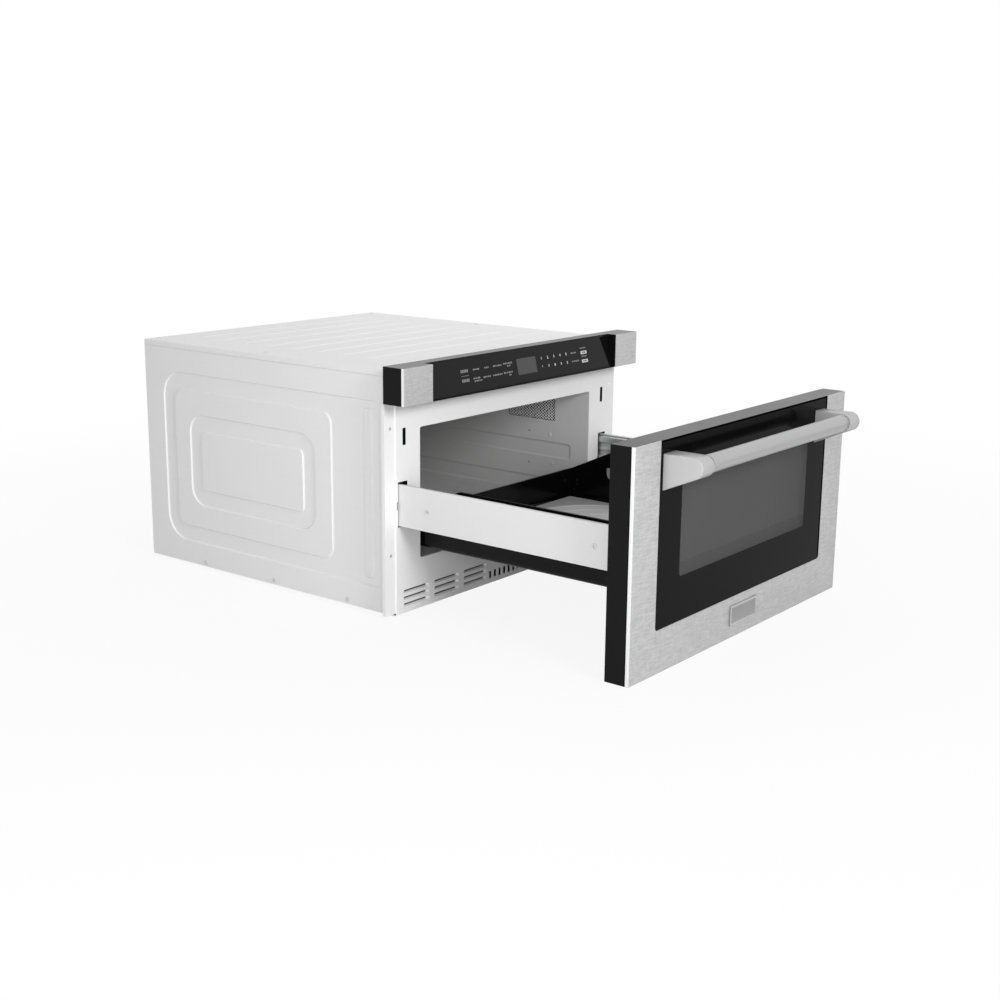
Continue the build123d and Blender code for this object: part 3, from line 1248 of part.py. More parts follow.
# ---------------------------------------------------------------- handle
HANDLE_Y = DOOR_FRONT - HANDLE_REACH
HANDLE_HALF = GLASS_X - HANDLE_INSET


def handle_bracket():
    """Right handle bracket: a tapering block from the glass to the tube."""
    top = HANDLE_Z + ARM_R
    foot_y, foot_z = GLASS_FRONT, top - ARM_FOOT
    dy, dz = foot_y - HANDLE_Y, foot_z - HANDLE_Z
    angle = math.atan2(dz, dy) - math.acos(ARM_R / math.hypot(dy, dz))
    x0 = HANDLE_HALF - ARM_W
    touch = (x0, HANDLE_Y + ARM_R * math.cos(angle), HANDLE_Z + ARM_R * math.sin(angle))
    nose = ThreePointArc((x0, HANDLE_Y, top), (x0, HANDLE_Y - ARM_R, HANDLE_Z), touch)
    rest = Polyline(touch, (x0, foot_y, foot_z), (x0, foot_y, top), (x0, HANDLE_Y, top))
    body = extrude(make_face(nose + rest), amount=ARM_W, dir=(1, 0, 0))
    end = body.faces().sort_by(Axis.X)[-1]
    body = fillet(end.edges().sort_by(Axis.Y)[:-1], ARM_ROUND)
    return body - rod(TUBE_R + SHAFT_FIT, (x0 - CUT, HANDLE_Y, HANDLE_Z), (x0 + SOCKET, HANDLE_Y, HANDLE_Z))


def handle_tube():
    """Round handle tube let into both brackets."""
    half = HANDLE_HALF - ARM_W + SOCKET
    tube = rod(TUBE_R, (-half, HANDLE_Y, HANDLE_Z), (half, HANDLE_Y, HANDLE_Z))
    return tube - rod(TUBE_R - TUBE_WALL, (-half - CUT, HANDLE_Y, HANDLE_Z), (half + CUT, HANDLE_Y, HANDLE_Z))


# ---------------------------------------------------------------- pan
PAN_TOP = PAN_Z + PAN_H
PAN_LOW_TOP = PAN_Z + PAN_REAR_H
PAN_KNEE = PAN_REAR - PAN_SLOPE


def pan_block(wall, over):
    """The pan's outside drawn in by a wall, its top raised to cut through the rim."""
    x, y0, y1, z0 = PAN_X - wall, DOOR_BACK + wall, PAN_REAR - wall, PAN_Z + wall
    side = [(y0, z0), (y1, z0), (y1, PAN_LOW_TOP + over), (PAN_KNEE, PAN_TOP + over), (y0, PAN_TOP + over)]
    body = prism_x(side, -x, x)
    return fillet(body.edges().group_by(Axis.Z)[0], PAN_R - wall)


def drawer_pan():
    """Enamelled pan: low sloping rear, rounded floor edges and a turned-out lip."""
    pan = pan_block(0, 0) - pan_block(PAN_T, PAN_R)
    lip = [(DOOR_BACK, PAN_TOP - PAN_T), (PAN_KNEE, PAN_TOP - PAN_T), (PAN_REAR, PAN_LOW_TOP - PAN_T),
           (PAN_REAR, PAN_LOW_TOP), (PAN_KNEE, PAN_TOP), (DOOR_BACK, PAN_TOP)]
    edge = PAN_X + PAN_LIP
    right = prism_x(lip, PAN_X - PAN_T, edge)
    pan = pan + right + other_side(right)
    return pan + block(-edge, edge, PAN_REAR - PAN_T, PAN_REAR + PAN_LIP, PAN_LOW_TOP - PAN_T, PAN_LOW_TOP)


def floor_tray():
    """Ceramic floor tray lying in the pan."""
    x, z = PAN_X - TRAY_INSET, PAN_Z + PAN_T
    return rounded_z(-x, x, DOOR_BACK + TRAY_FRONT, PAN_REAR - TRAY_REAR, z, z + TRAY_T, TRAY_R)


def pan_rivets():
    """Small rivets near the pan's rear corners and door end."""
    x, y = PAN_X - PAN_T, PAN_REAR - PAN_T
    back, high = RIVET_FRONT
    spots = [(PAN_REAR - RIVET_REAR, PAN_Z + z) for z in RIVET_HIGH] + [(DOOR_BACK + back, PAN_Z + high)]
    parts = [rod(RIVET_R, (x, spot_y, z), (x - RIVET_H, spot_y, z)) for spot_y, z in spots]
    x, z = PAN_X - RIVET_SIDE, PAN_Z + RIVET_HIGH[-1]
    parts.append(rod(RIVET_R, (x, y, z), (x, y - RIVET_H, z)))
    return parts + [other_side(part) for part in parts]


# ---------------------------------------------------------------- nodes
keep("base_plate", base_plate())
keep("top_cover", top_cover())
keep("back_panel", back_panel())
keep("front_plate", front_plate())
keep("cavity_liner", cavity_liner())
keep("vent_screen", vent_screen())
keep("air_duct", air_duct())
keep("cavity_lamp", cavity_lamp())
keep("stirrer_cover", stirrer_cover())
keep("waveguide", waveguide())
keep("magnetron", magnetron())
keep("magnetron_fins", *magnetron_fins())
keep("transformer_core", transformer_core())
keep("transformer_coils", *transformer_coils())
keep("capacitor", capacitor())
keep("power_board", power_board())
keep("cord_gland", cord_gland())
keep("fan_shroud", fan_shroud())
keep("fan_motor", fan_motor())
keep("fan_blade", fan_blade())
keep("stirrer_motor", stirrer_motor())
keep("stirrer_blade", stirrer_blade())
keep("drive_motor", drive_motor())
keep("drive_pinion", drive_pinion())
keep("drive_rack", drive_rack())
for word, place, opposite in (("right", same_side, other_side), ("left", other_side, same_side)):
    keep("side_panel_" + word, opposite(side_panel()))
    keep("slide_fixed_" + word, place(slide_fixed()))
    keep("slide_middle_" + word, place(slide_middle()))
    keep("slide_moving_" + word, place(slide_moving()))
    keep("side_rail_" + word, place(side_rail()))
    keep("control_cap_" + word, place(control_cap()))
    keep("handle_bracket_" + word, place(handle_bracket()))
keep("slide_brackets", *slide_brackets())
keep("latch_housings", latch_housing(), other_side(latch_housing()))
keep("interlock_switches", *interlock_switches())
keep("control_housing", control_housing())
keep("control_glass", control_glass())
keep("display_module", display_module())
keep("door_frame", door_frame())
keep("door_skin", door_skin())
keep("door_glass", door_glass())
keep("window_screen", window_screen())
keep("inner_panel", inner_panel())
keep("door_seal", door_seal())
keep("badge_plate", badge_plate())
keep("handle_tube", handle_tube())
keep("latch_hooks", latch_hook(), other_side(latch_hook()))
keep("drawer_pan", drawer_pan())
keep("floor_tray", floor_tray())
keep("pan_rivets", *pan_rivets())
keep("rail_screws", *rail_screws())
keep("top_screws", *[screw(spot, (0, 0, 1)) for spot in top_screw_spots()])
keep("base_screws", *[screw(spot, outwards(spot)) for spot in base_screw_spots()])

os.makedirs("parts", exist_ok=True)
for name, shape in NODES.items():
    export_step(shape, "parts/" + name + ".step")
print(len(NODES), "nodes written")
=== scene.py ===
import bmesh
import bpy
from math import acos, atan2, cos, hypot, pi, radians, sin
from mathutils import Matrix, Vector


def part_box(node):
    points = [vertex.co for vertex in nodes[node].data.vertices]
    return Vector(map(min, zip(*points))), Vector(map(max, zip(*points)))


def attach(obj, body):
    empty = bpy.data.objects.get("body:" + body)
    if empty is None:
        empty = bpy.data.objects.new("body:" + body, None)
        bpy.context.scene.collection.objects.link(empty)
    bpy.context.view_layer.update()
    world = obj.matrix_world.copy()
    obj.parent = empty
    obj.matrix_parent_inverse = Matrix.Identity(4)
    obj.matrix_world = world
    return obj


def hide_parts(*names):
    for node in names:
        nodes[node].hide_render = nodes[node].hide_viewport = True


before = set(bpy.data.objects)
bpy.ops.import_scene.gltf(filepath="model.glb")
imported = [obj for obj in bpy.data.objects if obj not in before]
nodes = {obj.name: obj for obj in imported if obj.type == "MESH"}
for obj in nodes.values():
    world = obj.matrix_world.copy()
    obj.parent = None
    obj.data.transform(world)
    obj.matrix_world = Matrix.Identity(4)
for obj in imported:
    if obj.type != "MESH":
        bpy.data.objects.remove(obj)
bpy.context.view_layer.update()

# -------- studio
# The drawer stands on a pale sweep, seen from its left front corner and from
# slightly above. Three soft boxes and a white surround light it evenly.
MM = 0.001
FLOOR_HALF, FLOOR_Z = 8, -0.0045
scene = bpy.context.scene
scene.view_settings.view_transform = "Standard"
camera = bpy.data.objects.new("camera", bpy.data.cameras.new("camera"))
camera.data.sensor_width = 36.0
camera.data.lens = 53.43
camera.data.clip_start = 0.05
camera.matrix_world = (Matrix.Translation((-1.866, -1.443, 0.690)) @ Matrix.Rotation(radians(-51.9), 4, "Z")
                       @ Matrix.Rotation(radians(76.64), 4, "X") @ Matrix.Rotation(radians(0.555), 4, "Z"))
scene.collection.objects.link(camera)
scene.camera = camera


def add(tree, kind, inputs=None, **settings):
    """One node, with its settings and its inputs: plain values, or sockets to link."""
    node = tree.nodes.new(kind)
    for name, value in settings.items():
        setattr(node, name, value)
    for name, value in (inputs or {}).items():
        if isinstance(value, bpy.types.NodeSocket):
            tree.links.new(value, node.inputs[name])
        else:
            node.inputs[name].default_value = value
    return node


def calc(tree, operation, *values, **settings):
    """The result of one operation on numbers and sockets."""
    return add(tree, "ShaderNodeMath", dict(enumerate(values)), operation=operation, **settings).outputs[0]


def ramp(tree, value, start, end, low, high):
    """A value between start and end, carried over to between low and high."""
    return add(tree, "ShaderNodeMapRange", {"Value": value, "From Min": start, "From Max": end,
                                            "To Min": low, "To Max": high}).outputs[0]


def soft_box(name, place, target, size, power):
    """One square studio lamp, turned to face a point."""
    lamp = bpy.data.lights.new(name, "AREA")
    lamp.shape, lamp.size, lamp.energy = "SQUARE", size, power
    obj = bpy.data.objects.new(name, lamp)
    obj.location = place
    obj.rotation_euler = (Vector(target) - Vector(place)).to_track_quat("-Z", "Y").to_euler()
    obj.visible_glossy = obj.visible_camera = False
    scene.collection.objects.link(obj)


def cleared(holder):
    """The empty node tree of a world or a material."""
    holder.use_nodes = True
    holder.node_tree.nodes.clear()
    return holder.node_tree


def seen_white(tree, mirrored):
    """1 where the camera looks, also through glass, and a share of that in reflections."""
    path = add(tree, "ShaderNodeLightPath")
    gloss = calc(tree, "MULTIPLY", path.outputs["Is Glossy Ray"], mirrored)
    direct = calc(tree, "MAXIMUM", path.outputs["Is Camera Ray"], gloss)
    return calc(tree, "MAXIMUM", direct, path.outputs["Is Transmission Ray"])


soft_box("lamp_front", (-0.9, -2.9, 1.5), (0, -0.1, 0.2), 1.0, 52.0)
soft_box("lamp_left", (-1.55, -0.9, 0.5), (0, 0.1, 0.2), 0.7, 9.6)
soft_box("lamp_top", (0.9, 0.3, 1.6), (0, 0.1, 0.3), 1.0, 7.2)
world = bpy.data.worlds.new("white_surround")
scene.world = world
tree = cleared(world)
dim = add(tree, "ShaderNodeBackground", {"Color": (1, 1, 1, 1), "Strength": 0.47})
white = add(tree, "ShaderNodeBackground", {"Color": (1, 1, 1, 1), "Strength": 1.0})
both = add(tree, "ShaderNodeMixShader", {0: seen_white(tree, 1.0), 1: dim.outputs[0], 2: white.outputs[0]})
add(tree, "ShaderNodeOutputWorld", {"Surface": both.outputs[0]})

sheet = bpy.data.meshes.new("studio_floor")
corners = ((-1, -1), (1, -1), (1, 1), (-1, 1))
sheet.from_pydata([(x * FLOOR_HALF, y * FLOOR_HALF, FLOOR_Z) for x, y in corners], [], [(0, 1, 2, 3)])
floor = bpy.data.objects.new("studio_floor", sheet)
scene.collection.objects.link(floor)
sweep = bpy.data.materials.new("studio_sweep")
tree = cleared(sweep)
coords = add(tree, "ShaderNodeTexCoord")
grain = add(tree, "ShaderNodeTexNoise", {"Vector": coords.outputs["Object"], "Scale": 3.0, "Detail": 2.0})
matt = add(tree, "ShaderNodeBsdfDiffuse", {"Color": ramp(tree, grain.outputs["Fac"], 0.0, 1.0, 0.71, 0.75)})
lit = add(tree, "ShaderNodeEmission", {"Strength": 1.0})
# Near the object the floor keeps a tenth of its shadow. Further off it is plain white.
away = add(tree, "ShaderNodeVectorMath", {0: coords.outputs["Object"]}, operation="LENGTH")
share = calc(tree, "MULTIPLY", seen_white(tree, 0.55), ramp(tree, away.outputs["Value"], 0.5, 1.8, 0.90, 1.0))
both = add(tree, "ShaderNodeMixShader", {0: share, 1: matt.outputs[0], 2: lit.outputs[0]})
add(tree, "ShaderNodeOutputMaterial", {"Surface": both.outputs[0]})
sheet.materials.append(sweep)

# -------- side panels
# Left and right sides of the cabinet: white enamelled steel sheet, 1 mm thick, with two
# pressed-in rings and an upright bead that stiffen it. Screwed to the base and the cover.


def effect(name, outputs=("Shade", "Rough", "Height"), **inputs):
    """An empty shader group with a Vector, named inputs and outputs, ready to be wired."""
    group = bpy.data.node_groups.new(name, "ShaderNodeTree")
    group.interface.new_socket("Vector", in_out="INPUT", socket_type="NodeSocketVector")
    for label, value in inputs.items():
        socket = group.interface.new_socket(label, in_out="INPUT", socket_type="NodeSocketFloat")
        socket.default_value = value
    for label in outputs:
        group.interface.new_socket(label, in_out="OUTPUT", socket_type="NodeSocketFloat")
    return group, group.nodes.new("NodeGroupInput").outputs


# Fine skin of a sprayed or moulded surface: orange peel, slow tone drift, dull patches.
skin, socket = effect("surface_skin", Peel=600.0, Drift=0.03, Dull=0.08, Streak=0.0)
peel = add(skin, "ShaderNodeTexNoise", {"Vector": socket["Vector"], "Scale": socket["Peel"], "Detail": 2.0})
slow = add(skin, "ShaderNodeTexNoise", {"Vector": socket["Vector"], "Scale": 5.0, "Detail": 4.0, "Roughness": 0.6})
drift = calc(skin, "SUBTRACT", slow.outputs["Fac"], 0.5)
shade = calc(skin, "MULTIPLY_ADD", drift, socket["Drift"], 1.0)
pulled = add(skin, "ShaderNodeVectorMath", {0: socket["Vector"], 1: (300.0, 9.0, 300.0)}, operation="MULTIPLY")
rolled = add(skin, "ShaderNodeTexNoise", {"Vector": pulled.outputs[0], "Scale": 1.0, "Detail": 3.0})
streak = calc(skin, "SUBTRACT", rolled.outputs["Fac"], 0.5)
shade = calc(skin, "MULTIPLY_ADD", streak, socket["Streak"], shade)
dull = calc(skin, "MULTIPLY", drift, socket["Dull"])
add(skin, "NodeGroupOutput", {"Shade": shade, "Rough": dull, "Height": peel.outputs["Fac"]})


def finish(name, tone, rough, group, values, bump, depth, **plain):
    """A material: a tone and a roughness that a surface effect varies, and its relief."""
    material = bpy.data.materials.new(name)
    material.use_nodes = True
    tree = material.node_tree
    surface = tree.nodes["Principled BSDF"]
    coords = add(tree, "ShaderNodeTexCoord")
    fx = add(tree, "ShaderNodeGroup", {"Vector": coords.outputs["Object"], **values}, name="effect", node_tree=group)
    colour = tone if isinstance(tone, tuple) else (tone, tone, tone)
    tint = add(tree, "ShaderNodeVectorMath", {0: colour, "Scale": fx.outputs["Shade"]}, operation="SCALE")
    dull = calc(tree, "ADD", fx.outputs["Rough"], rough, use_clamp=True)
    relief = add(tree, "ShaderNodeBump", {"Strength": bump, "Distance": depth, "Height": fx.outputs["Height"]})
    for label, value in (("Base Color", tint.outputs[0]), ("Roughness", dull), ("Normal", relief.outputs[0])):
        tree.links.new(value, surface.inputs[label])
    for label, value in plain.items():
        surface.inputs[label].default_value = value
    return material


def painted(name, tone, rough, peel, drift, dull, bump, depth, **plain):
    """A finish with the fine skin: paint, plastic, rubber, glass or print."""
    return finish(name, tone, rough, skin, {"Peel": peel, "Drift": drift, "Dull": dull}, bump, depth, **plain)


def dress(material, *names):
    """Gives the frame's own nodes a material."""
    for name in names:
        for slot in nodes[name].material_slots:
            slot.material = material


def settle(obj, body, slot, *replaced):
    """Says what a new piece moves with and which nodes it stands for, and hides those nodes; the slot is not used."""
    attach(obj, body)
    if replaced:
        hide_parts(*replaced)


def piece(name, bm, material, sharp=32.0):
    """A new object from a bmesh, smooth except at its sharp edges."""
    mesh = bpy.data.meshes.new(name)
    bm.to_mesh(mesh)
    bm.free()
    mesh.shade_smooth()
    mesh.set_sharp_from_angle(angle=radians(sharp))
    mesh.materials.append(material)
    obj = bpy.data.objects.new(name, mesh)
    scene.collection.objects.link(obj)
    return obj


def harden(obj, sharp):
    """Turns a piece's modifiers into plain mesh, with new sharp edges if asked."""
    done = bpy.data.meshes.new_from_object(obj.evaluated_get(bpy.context.evaluated_depsgraph_get()))
    done.shade_smooth()
    if sharp:
        done.set_sharp_from_angle(angle=radians(sharp))
    obj.modifiers.clear()
    obj.data = done
    return obj


def thicken(obj, thickness, sharp=32.0):
    """Gives a sheet its thickness in millimetres, behind its face."""
    wall = obj.modifiers.new("sheet", "SOLIDIFY")
    wall.thickness, wall.offset, wall.use_even_offset = thickness * MM, -1.0, True
    return harden(obj, sharp)


def coat(obj, material, where):
    """A second finish on the faces that a test picks."""
    obj.data.materials.append(material)
    for polygon in obj.data.polygons:
        if where(polygon):
            polygon.material_index = 1


def flip(bm, wrong):
    """Turns the faces that a test finds to look the wrong way."""
    bm.normal_update()
    for face in bm.faces:
        if wrong(face):
            face.normal_flip()


def mm(x, y, z):
    """A point given in millimetres."""
    return x * MM, y * MM, z * MM


def ring(y0, y1, z0, z1, front_r, rear_r, inset=0.0, steps=10):
    """A rounded rectangle drawn in by an inset, always with the same number of points."""
    y0, y1, z0, z1 = y0 + inset, y1 - inset, z0 + inset, z1 - inset
    points = []
    for cy, cz, turn, r in ((y1, z1, 0, rear_r), (y0, z1, 90, front_r), (y0, z0, 180, front_r), (y1, z0, 270, rear_r)):
        r = max(r - inset, 0.4)
        cy, cz = cy - r if cy == y1 else cy + r, cz - r if cz == z1 else cz + r
        for i in range(steps + 1):
            a = radians(turn + 90 * i / steps)
            points.append((cy + r * cos(a), cz + r * sin(a)))
    return points


def skin_loops(bm, loops, close=True):
    """Quads between loops with the same number of points, and a face over the last."""
    rows = [[bm.verts.new(mm(*point)) for point in loop] for loop in loops]
    for a, b in zip(rows, rows[1:]):
        for i in range(len(a)):
            bm.faces.new((a[i - 1], a[i], b[i], b[i - 1]))
    if close:
        bm.faces.new(rows[-1])


SIDE_X, SHEET, PRESS_DEEP = 280.0, 1.0, 2.5
RING_SLOPE, BEAD_SLOPE = 2.0, 3.4
white_paint = finish("white_enamel", 0.835, 0.45, skin, {"Peel": 700.0, "Drift": 0.04, "Dull": 0.1, "Streak": 0.03},
                     0.06, 0.0002, IOR=1.35)
# Near-black coat on the faces of a sheet that look into the cabinet: the sheet's darker reverse side, darkened to black
# as painted shade.
reverse_coat_painted_shade = painted("reverse_coat_painted_shade", 0.02, 0.6, 500.0, 0.1, 0.08, 0.06, 0.0002, IOR=1.15)


def press_steps(rect, radii, sink, slope=RING_SLOPE):
    """Loops over one pressed edge: flat, a soft S-shaped slope, flat again."""
    start, end = (0.0, -PRESS_DEEP) if sink else (-PRESS_DEEP, 0.0)
    steps = []
    for t in (-0.15, 0.0, 0.2, 0.4, 0.6, 0.8, 1.0, 1.15):
        k = min(max(t, 0.0), 1.0)
        level = start + (end - start) * k * k * (3 - 2 * k)
        steps.append((level, ring(*rect, *radii, inset=(t - (0.0 if sink else 0.5)) * slope)))
    return steps


for side, word in ((-1, "left"), (1, "right")):
    levels = [(0.0, ring(3.2, 563.0, 0.0, 362.7, 0.4, 0.4))]
    levels += press_steps((31, 519, 38, 325), (6, 44), True)
    levels += press_steps((129, 491, 65, 297), (20, 20), False)
    levels += press_steps((164, 456, 103, 258), (32, 32), True)
    levels += press_steps((191, 428, 131, 230), (9, 9), False)
    bead = press_steps((45, 61, 51, 312), (5, 5), False, BEAD_SLOPE)
    bm = bmesh.new()
    for steps, lift in ((levels, 0.0), (bead, 0.01)):
        skin_loops(bm, [[(side * (SIDE_X + x + lift), y, z) for y, z in loop] for x, loop in steps])
    flip(bm, lambda face: face.normal.x * side < 0)
    panel = thicken(piece("side_" + word, bm, white_paint, 40.0), SHEET, 40.0)
    # The inward faces take the near-black coat: painted shade inside the cabinet.
    coat(panel, reverse_coat_painted_shade, lambda face: face.normal.x * side < -0.3)
    settle(panel, "cabinet", "white_paint", "side_panel_" + word)

# -------- top cover
# One white enamelled sheet over the cabinet, folded down 9 mm at both sides, with eight
# shallow ribs pressed across it so that it doesn't drum.


def recipe(name, **inputs):
    """A geometry tree with named inputs; returns the tree and its group input's sockets."""
    tree = bpy.data.node_groups.new(name, "GeometryNodeTree")
    tree.interface.new_socket("Geometry", in_out="INPUT", socket_type="NodeSocketGeometry")
    for label, value in inputs.items():
        kind = {float: "Float", int: "Int", tuple: "Vector"}.get(type(value), value)
        socket = tree.interface.new_socket(label, in_out="INPUT", socket_type="NodeSocket" + kind)
        if kind != value:
            socket.default_value = value
    tree.interface.new_socket("Geometry", in_out="OUTPUT", socket_type="NodeSocketGeometry")
    return tree, tree.nodes.new("NodeGroupInput").outputs


def close_recipe(tree, socket, geometry, own=True):
    """Ends a tree: the new geometry, and the piece's own if asked, all real, with one finish."""
    if own:
        whole = add(tree, "GeometryNodeJoinGeometry", {"Geometry": geometry})
        tree.links.new(socket["Geometry"], whole.inputs[0])
        geometry = whole.outputs[0]
    real = add(tree, "GeometryNodeRealizeInstances", {"Geometry": geometry})
    done = add(tree, "GeometryNodeSetMaterial", {"Geometry": real.outputs[0], "Material": socket["Finish"]})
    add(tree, "NodeGroupOutput", {"Geometry": done.outputs[0]})


def grow(obj, tree, sharp, **values):
    """Runs a geometry tree on an object with its own values and keeps the plain mesh."""
    modifier = obj.modifiers.new("recipe", "NODES")
    modifier.node_group = tree
    for item in tree.interface.items_tree:
        if item.in_out == "INPUT" and item.name in values:
            modifier[item.identifier] = values[item.name]
    harden(obj, sharp)


# A form repeated in columns and rows, every second column shifted by the stagger.
NOWHERE = (0.0, 0.0, 0.0)
array, socket = recipe("rows_of_forms", Form="Object", First=NOWHERE, Across=NOWHERE, Up=NOWHERE, Stagger=NOWHERE,
                       Columns=1, Rows=1, Finish="Material")
row = add(array, "GeometryNodeMeshLine", {"Count": socket["Columns"], "Start Location": socket["First"],
                                          "Offset": socket["Across"]}, mode="OFFSET")
index = add(array, "GeometryNodeInputIndex")
odd = calc(array, "MODULO", index.outputs[0], 2.0)
shift = add(array, "ShaderNodeVectorMath", {0: socket["Stagger"], "Scale": odd}, operation="SCALE")
row = add(array, "GeometryNodeSetPosition", {"Geometry": row.outputs[0], "Offset": shift.outputs[0]})
stack = add(array, "GeometryNodeMeshLine", {"Count": socket["Rows"], "Offset": socket["Up"]}, mode="OFFSET")
spots = add(array, "GeometryNodeInstanceOnPoints", {"Points": row.outputs[0], "Instance": stack.outputs[0]})
spots = add(array, "GeometryNodeRealizeInstances", {"Geometry": spots.outputs[0]})
form = add(array, "GeometryNodeObjectInfo", {"Object": socket["Form"]})
many = add(array, "GeometryNodeInstanceOnPoints", {"Points": spots.outputs[0], "Instance": form.outputs["Geometry"]})
close_recipe(array, socket, many.outputs[0])

COVER_Z, FOLD_R = 372.0, 1.8
RIB_LENGTH, RIB_WIDTH, RIB_HIGH, RIB_SLOPE = 408.0, 12.0, 1.0, 3.6
bm = bmesh.new()
loops = []
for t in (0.0, 0.12, 0.3, 0.5, 0.7, 0.88, 1.0):
    level = COVER_Z + 0.01 + RIB_HIGH * t * t * (3 - 2 * t)
    oblong = ring(-RIB_LENGTH / 2, RIB_LENGTH / 2, -RIB_WIDTH / 2, RIB_WIDTH / 2, 6, 6, inset=t * RIB_SLOPE)
    loops.append([(across, along, level) for across, along in oblong])
skin_loops(bm, loops)
rib_form = piece("rib_form", bm, white_paint, 40.0)


def skin_strip(bm, lines):
    """Quads between open lines with the same number of points."""
    rows = [[bm.verts.new(mm(*point)) for point in line] for line in lines]
    for a, b in zip(rows, rows[1:]):
        for i in range(1, len(a)):
            bm.faces.new((a[i - 1], b[i - 1], b[i], a[i]))


bm = bmesh.new()
fold = [(SIDE_X, 363.0), (SIDE_X, 366.0)]
for angle in range(0, 91, 15):
    a = radians(angle)
    fold.append((SIDE_X - FOLD_R + FOLD_R * cos(a), COVER_Z - FOLD_R + FOLD_R * sin(a)))
fold.append((276.5, COVER_Z))
fold += [(-x, z) for x, z in reversed(fold)]
skin_strip(bm, [[(x, y, z) for x, z in fold] for y in (3.2, 4.5, 561.7, 563.0)])
cover = thicken(piece("cover", bm, white_paint, 40.0), SHEET, 40.0)
grow(cover, array, 40.0, Form=rib_form, First=(0.0, 0.125, 0.0), Across=(0.0, 0.0547, 0.0), Columns=8,
     Finish=white_paint)
settle(cover, "cabinet", "white_paint", "top_cover")
bpy.data.objects.remove(rib_form)

# -------- front plate
# The white front sheet that everything hangs on: cavity mouth, rail and latch slots, and
# the folded flanges that screw to the kitchen cabinet. Its foot has pressed-in louvres,
# level at both sides and upright in the middle, which draw in the cooling air.


def solid_block(bm, low, high):
    """A block between two corners in millimetres, added to a bmesh."""
    middle = [(a + b) / 2 * MM for a, b in zip(low, high)]
    spans = [(b - a) * MM for a, b in zip(low, high)]
    verts = bmesh.ops.create_cube(bm, size=1.0)["verts"]
    bmesh.ops.transform(bm, matrix=Matrix.Translation(middle) @ Matrix.Diagonal((*spans, 1)), verts=verts)


def louvre_form(name, half_l, half_h, slit, deep, end):
    """One louvre round the origin: a pocket pressed inwards, with a slit cut along its top."""
    bm = bmesh.new()
    across, up = 28, 10
    xs = [-half_l + 2 * half_l * i / across for i in range(across + 1)]
    zs = [-half_h + 2 * half_h * j / up for j in range(up + 1)]
    grid = []
    for z in zs:
        row = []
        for x in xs:
            e = min(1.0, (half_l - abs(x)) / end)
            v = (z + half_h) / (2 * half_h)
            rise = min(1.0, v / 0.55) if v < 0.9 else max(0.0, (1 - v) / 0.1)
            row.append(bm.verts.new(mm(x, deep * e * e * (3 - 2 * e) * rise * rise * (3 - 2 * rise), z)))
        grid.append(row)
    for j in range(up):
        for i in range(across):
            middle = abs(xs[i] + xs[i + 1]) / 2 < half_l - end * 0.75
            if not (middle and zs[j] > half_h - slit):
                bm.faces.new((grid[j][i], grid[j][i + 1], grid[j + 1][i + 1], grid[j + 1][i]))
    return thicken(piece(name, bm, white_paint, 60.0), 0.6, 60.0)


# The node's own sheet, with a bend radius at the fold of its flanges.
FOLD_X, TINY = 276.0, 0.01
bm = bmesh.new()
bm.from_mesh(nodes["front_plate"].data)
bmesh.ops.remove_doubles(bm, verts=bm.verts, dist=0.001 * MM)
bmesh.ops.dissolve_limit(bm, angle_limit=radians(0.5), verts=bm.verts, edges=bm.edges)
fold = [edge for edge in bm.edges if len(edge.link_faces) == 2 and all(
    abs(abs(vert.co.x) - FOLD_X * MM) < TINY * MM and abs(vert.co.y) < TINY * MM for vert in edge.verts)]
bmesh.ops.bevel(bm, geom=fold, offset=1.1 * MM, segments=4, affect="EDGES", profile=0.5)
plate = piece("front_sheet", bm, white_paint, 35.0)

# Cutters for the slots, and for the plain wall behind them.
LOUVRE_L, LOUVRE_H, LOUVRE_X, LOUVRE_Z = 58.0, 6.4, (87.5, 159.3, 230.5), (12.0, 22.5, 33.0)
SLIT_W, SLIT_H, SLIT_PITCH, SLIT_Z = 7.0, 13.5, 12.2, 14.0
bm = bmesh.new()
for side in (-1, 1):
    for x in LOUVRE_X:
        x0, x1 = side * x - LOUVRE_L / 2, side * x + LOUVRE_L / 2
        for z in LOUVRE_Z:
            solid_block(bm, (x0, -1, z - LOUVRE_H / 2), (x1, 6, z + LOUVRE_H / 2))
        solid_block(bm, (x0 - 2, 1.3, 6), (x1 + 2, 6, 38))
for i in range(-4, 5):
    x = i * SLIT_PITCH
    solid_block(bm, (x - SLIT_W / 2, -1, SLIT_Z - SLIT_H / 2), (x + SLIT_W / 2, 6, SLIT_Z + SLIT_H / 2))
solid_block(bm, (-60, 1.3, 5), (60, 6, 23))
cutter = piece("louvre_cutter", bm, white_paint)
cut = plate.modifiers.new("slots", "BOOLEAN")
cut.object, cut.operation, cut.solver, cut.use_self = cutter, "DIFFERENCE", "EXACT", True
harden(plate, 10.0)
bpy.data.objects.remove(cutter)
level = louvre_form("louvre_form", LOUVRE_L / 2, LOUVRE_H / 2, 4.0, 5.0, 6.0)
upright = louvre_form("slit_form", SLIT_H / 2, SLIT_W / 2, 4.8, 3.4, 1.2)
upright.data.transform(Matrix.Rotation(radians(90.0), 4, "Y"))
for form, first, across, up, columns, rows in (
        (level, (-0.2305, 0.0, 0.012), (0.0712, 0.0, 0.0), (0.0, 0.0, 0.0105), 3, 3),
        (level, (0.0875, 0.0, 0.012), (0.0712, 0.0, 0.0), (0.0, 0.0, 0.0105), 3, 3),
        (upright, (-0.0488, 0.0, 0.014), (0.0122, 0.0, 0.0), NOWHERE, 9, 1)):
    grow(plate, array, 0, Form=form, First=first, Across=across, Up=up, Columns=columns, Rows=rows,
         Finish=white_paint)
LOUVRES_END, SLOT_NEAR, SLOT_FAR = 0.05, 0.236, 0.2745
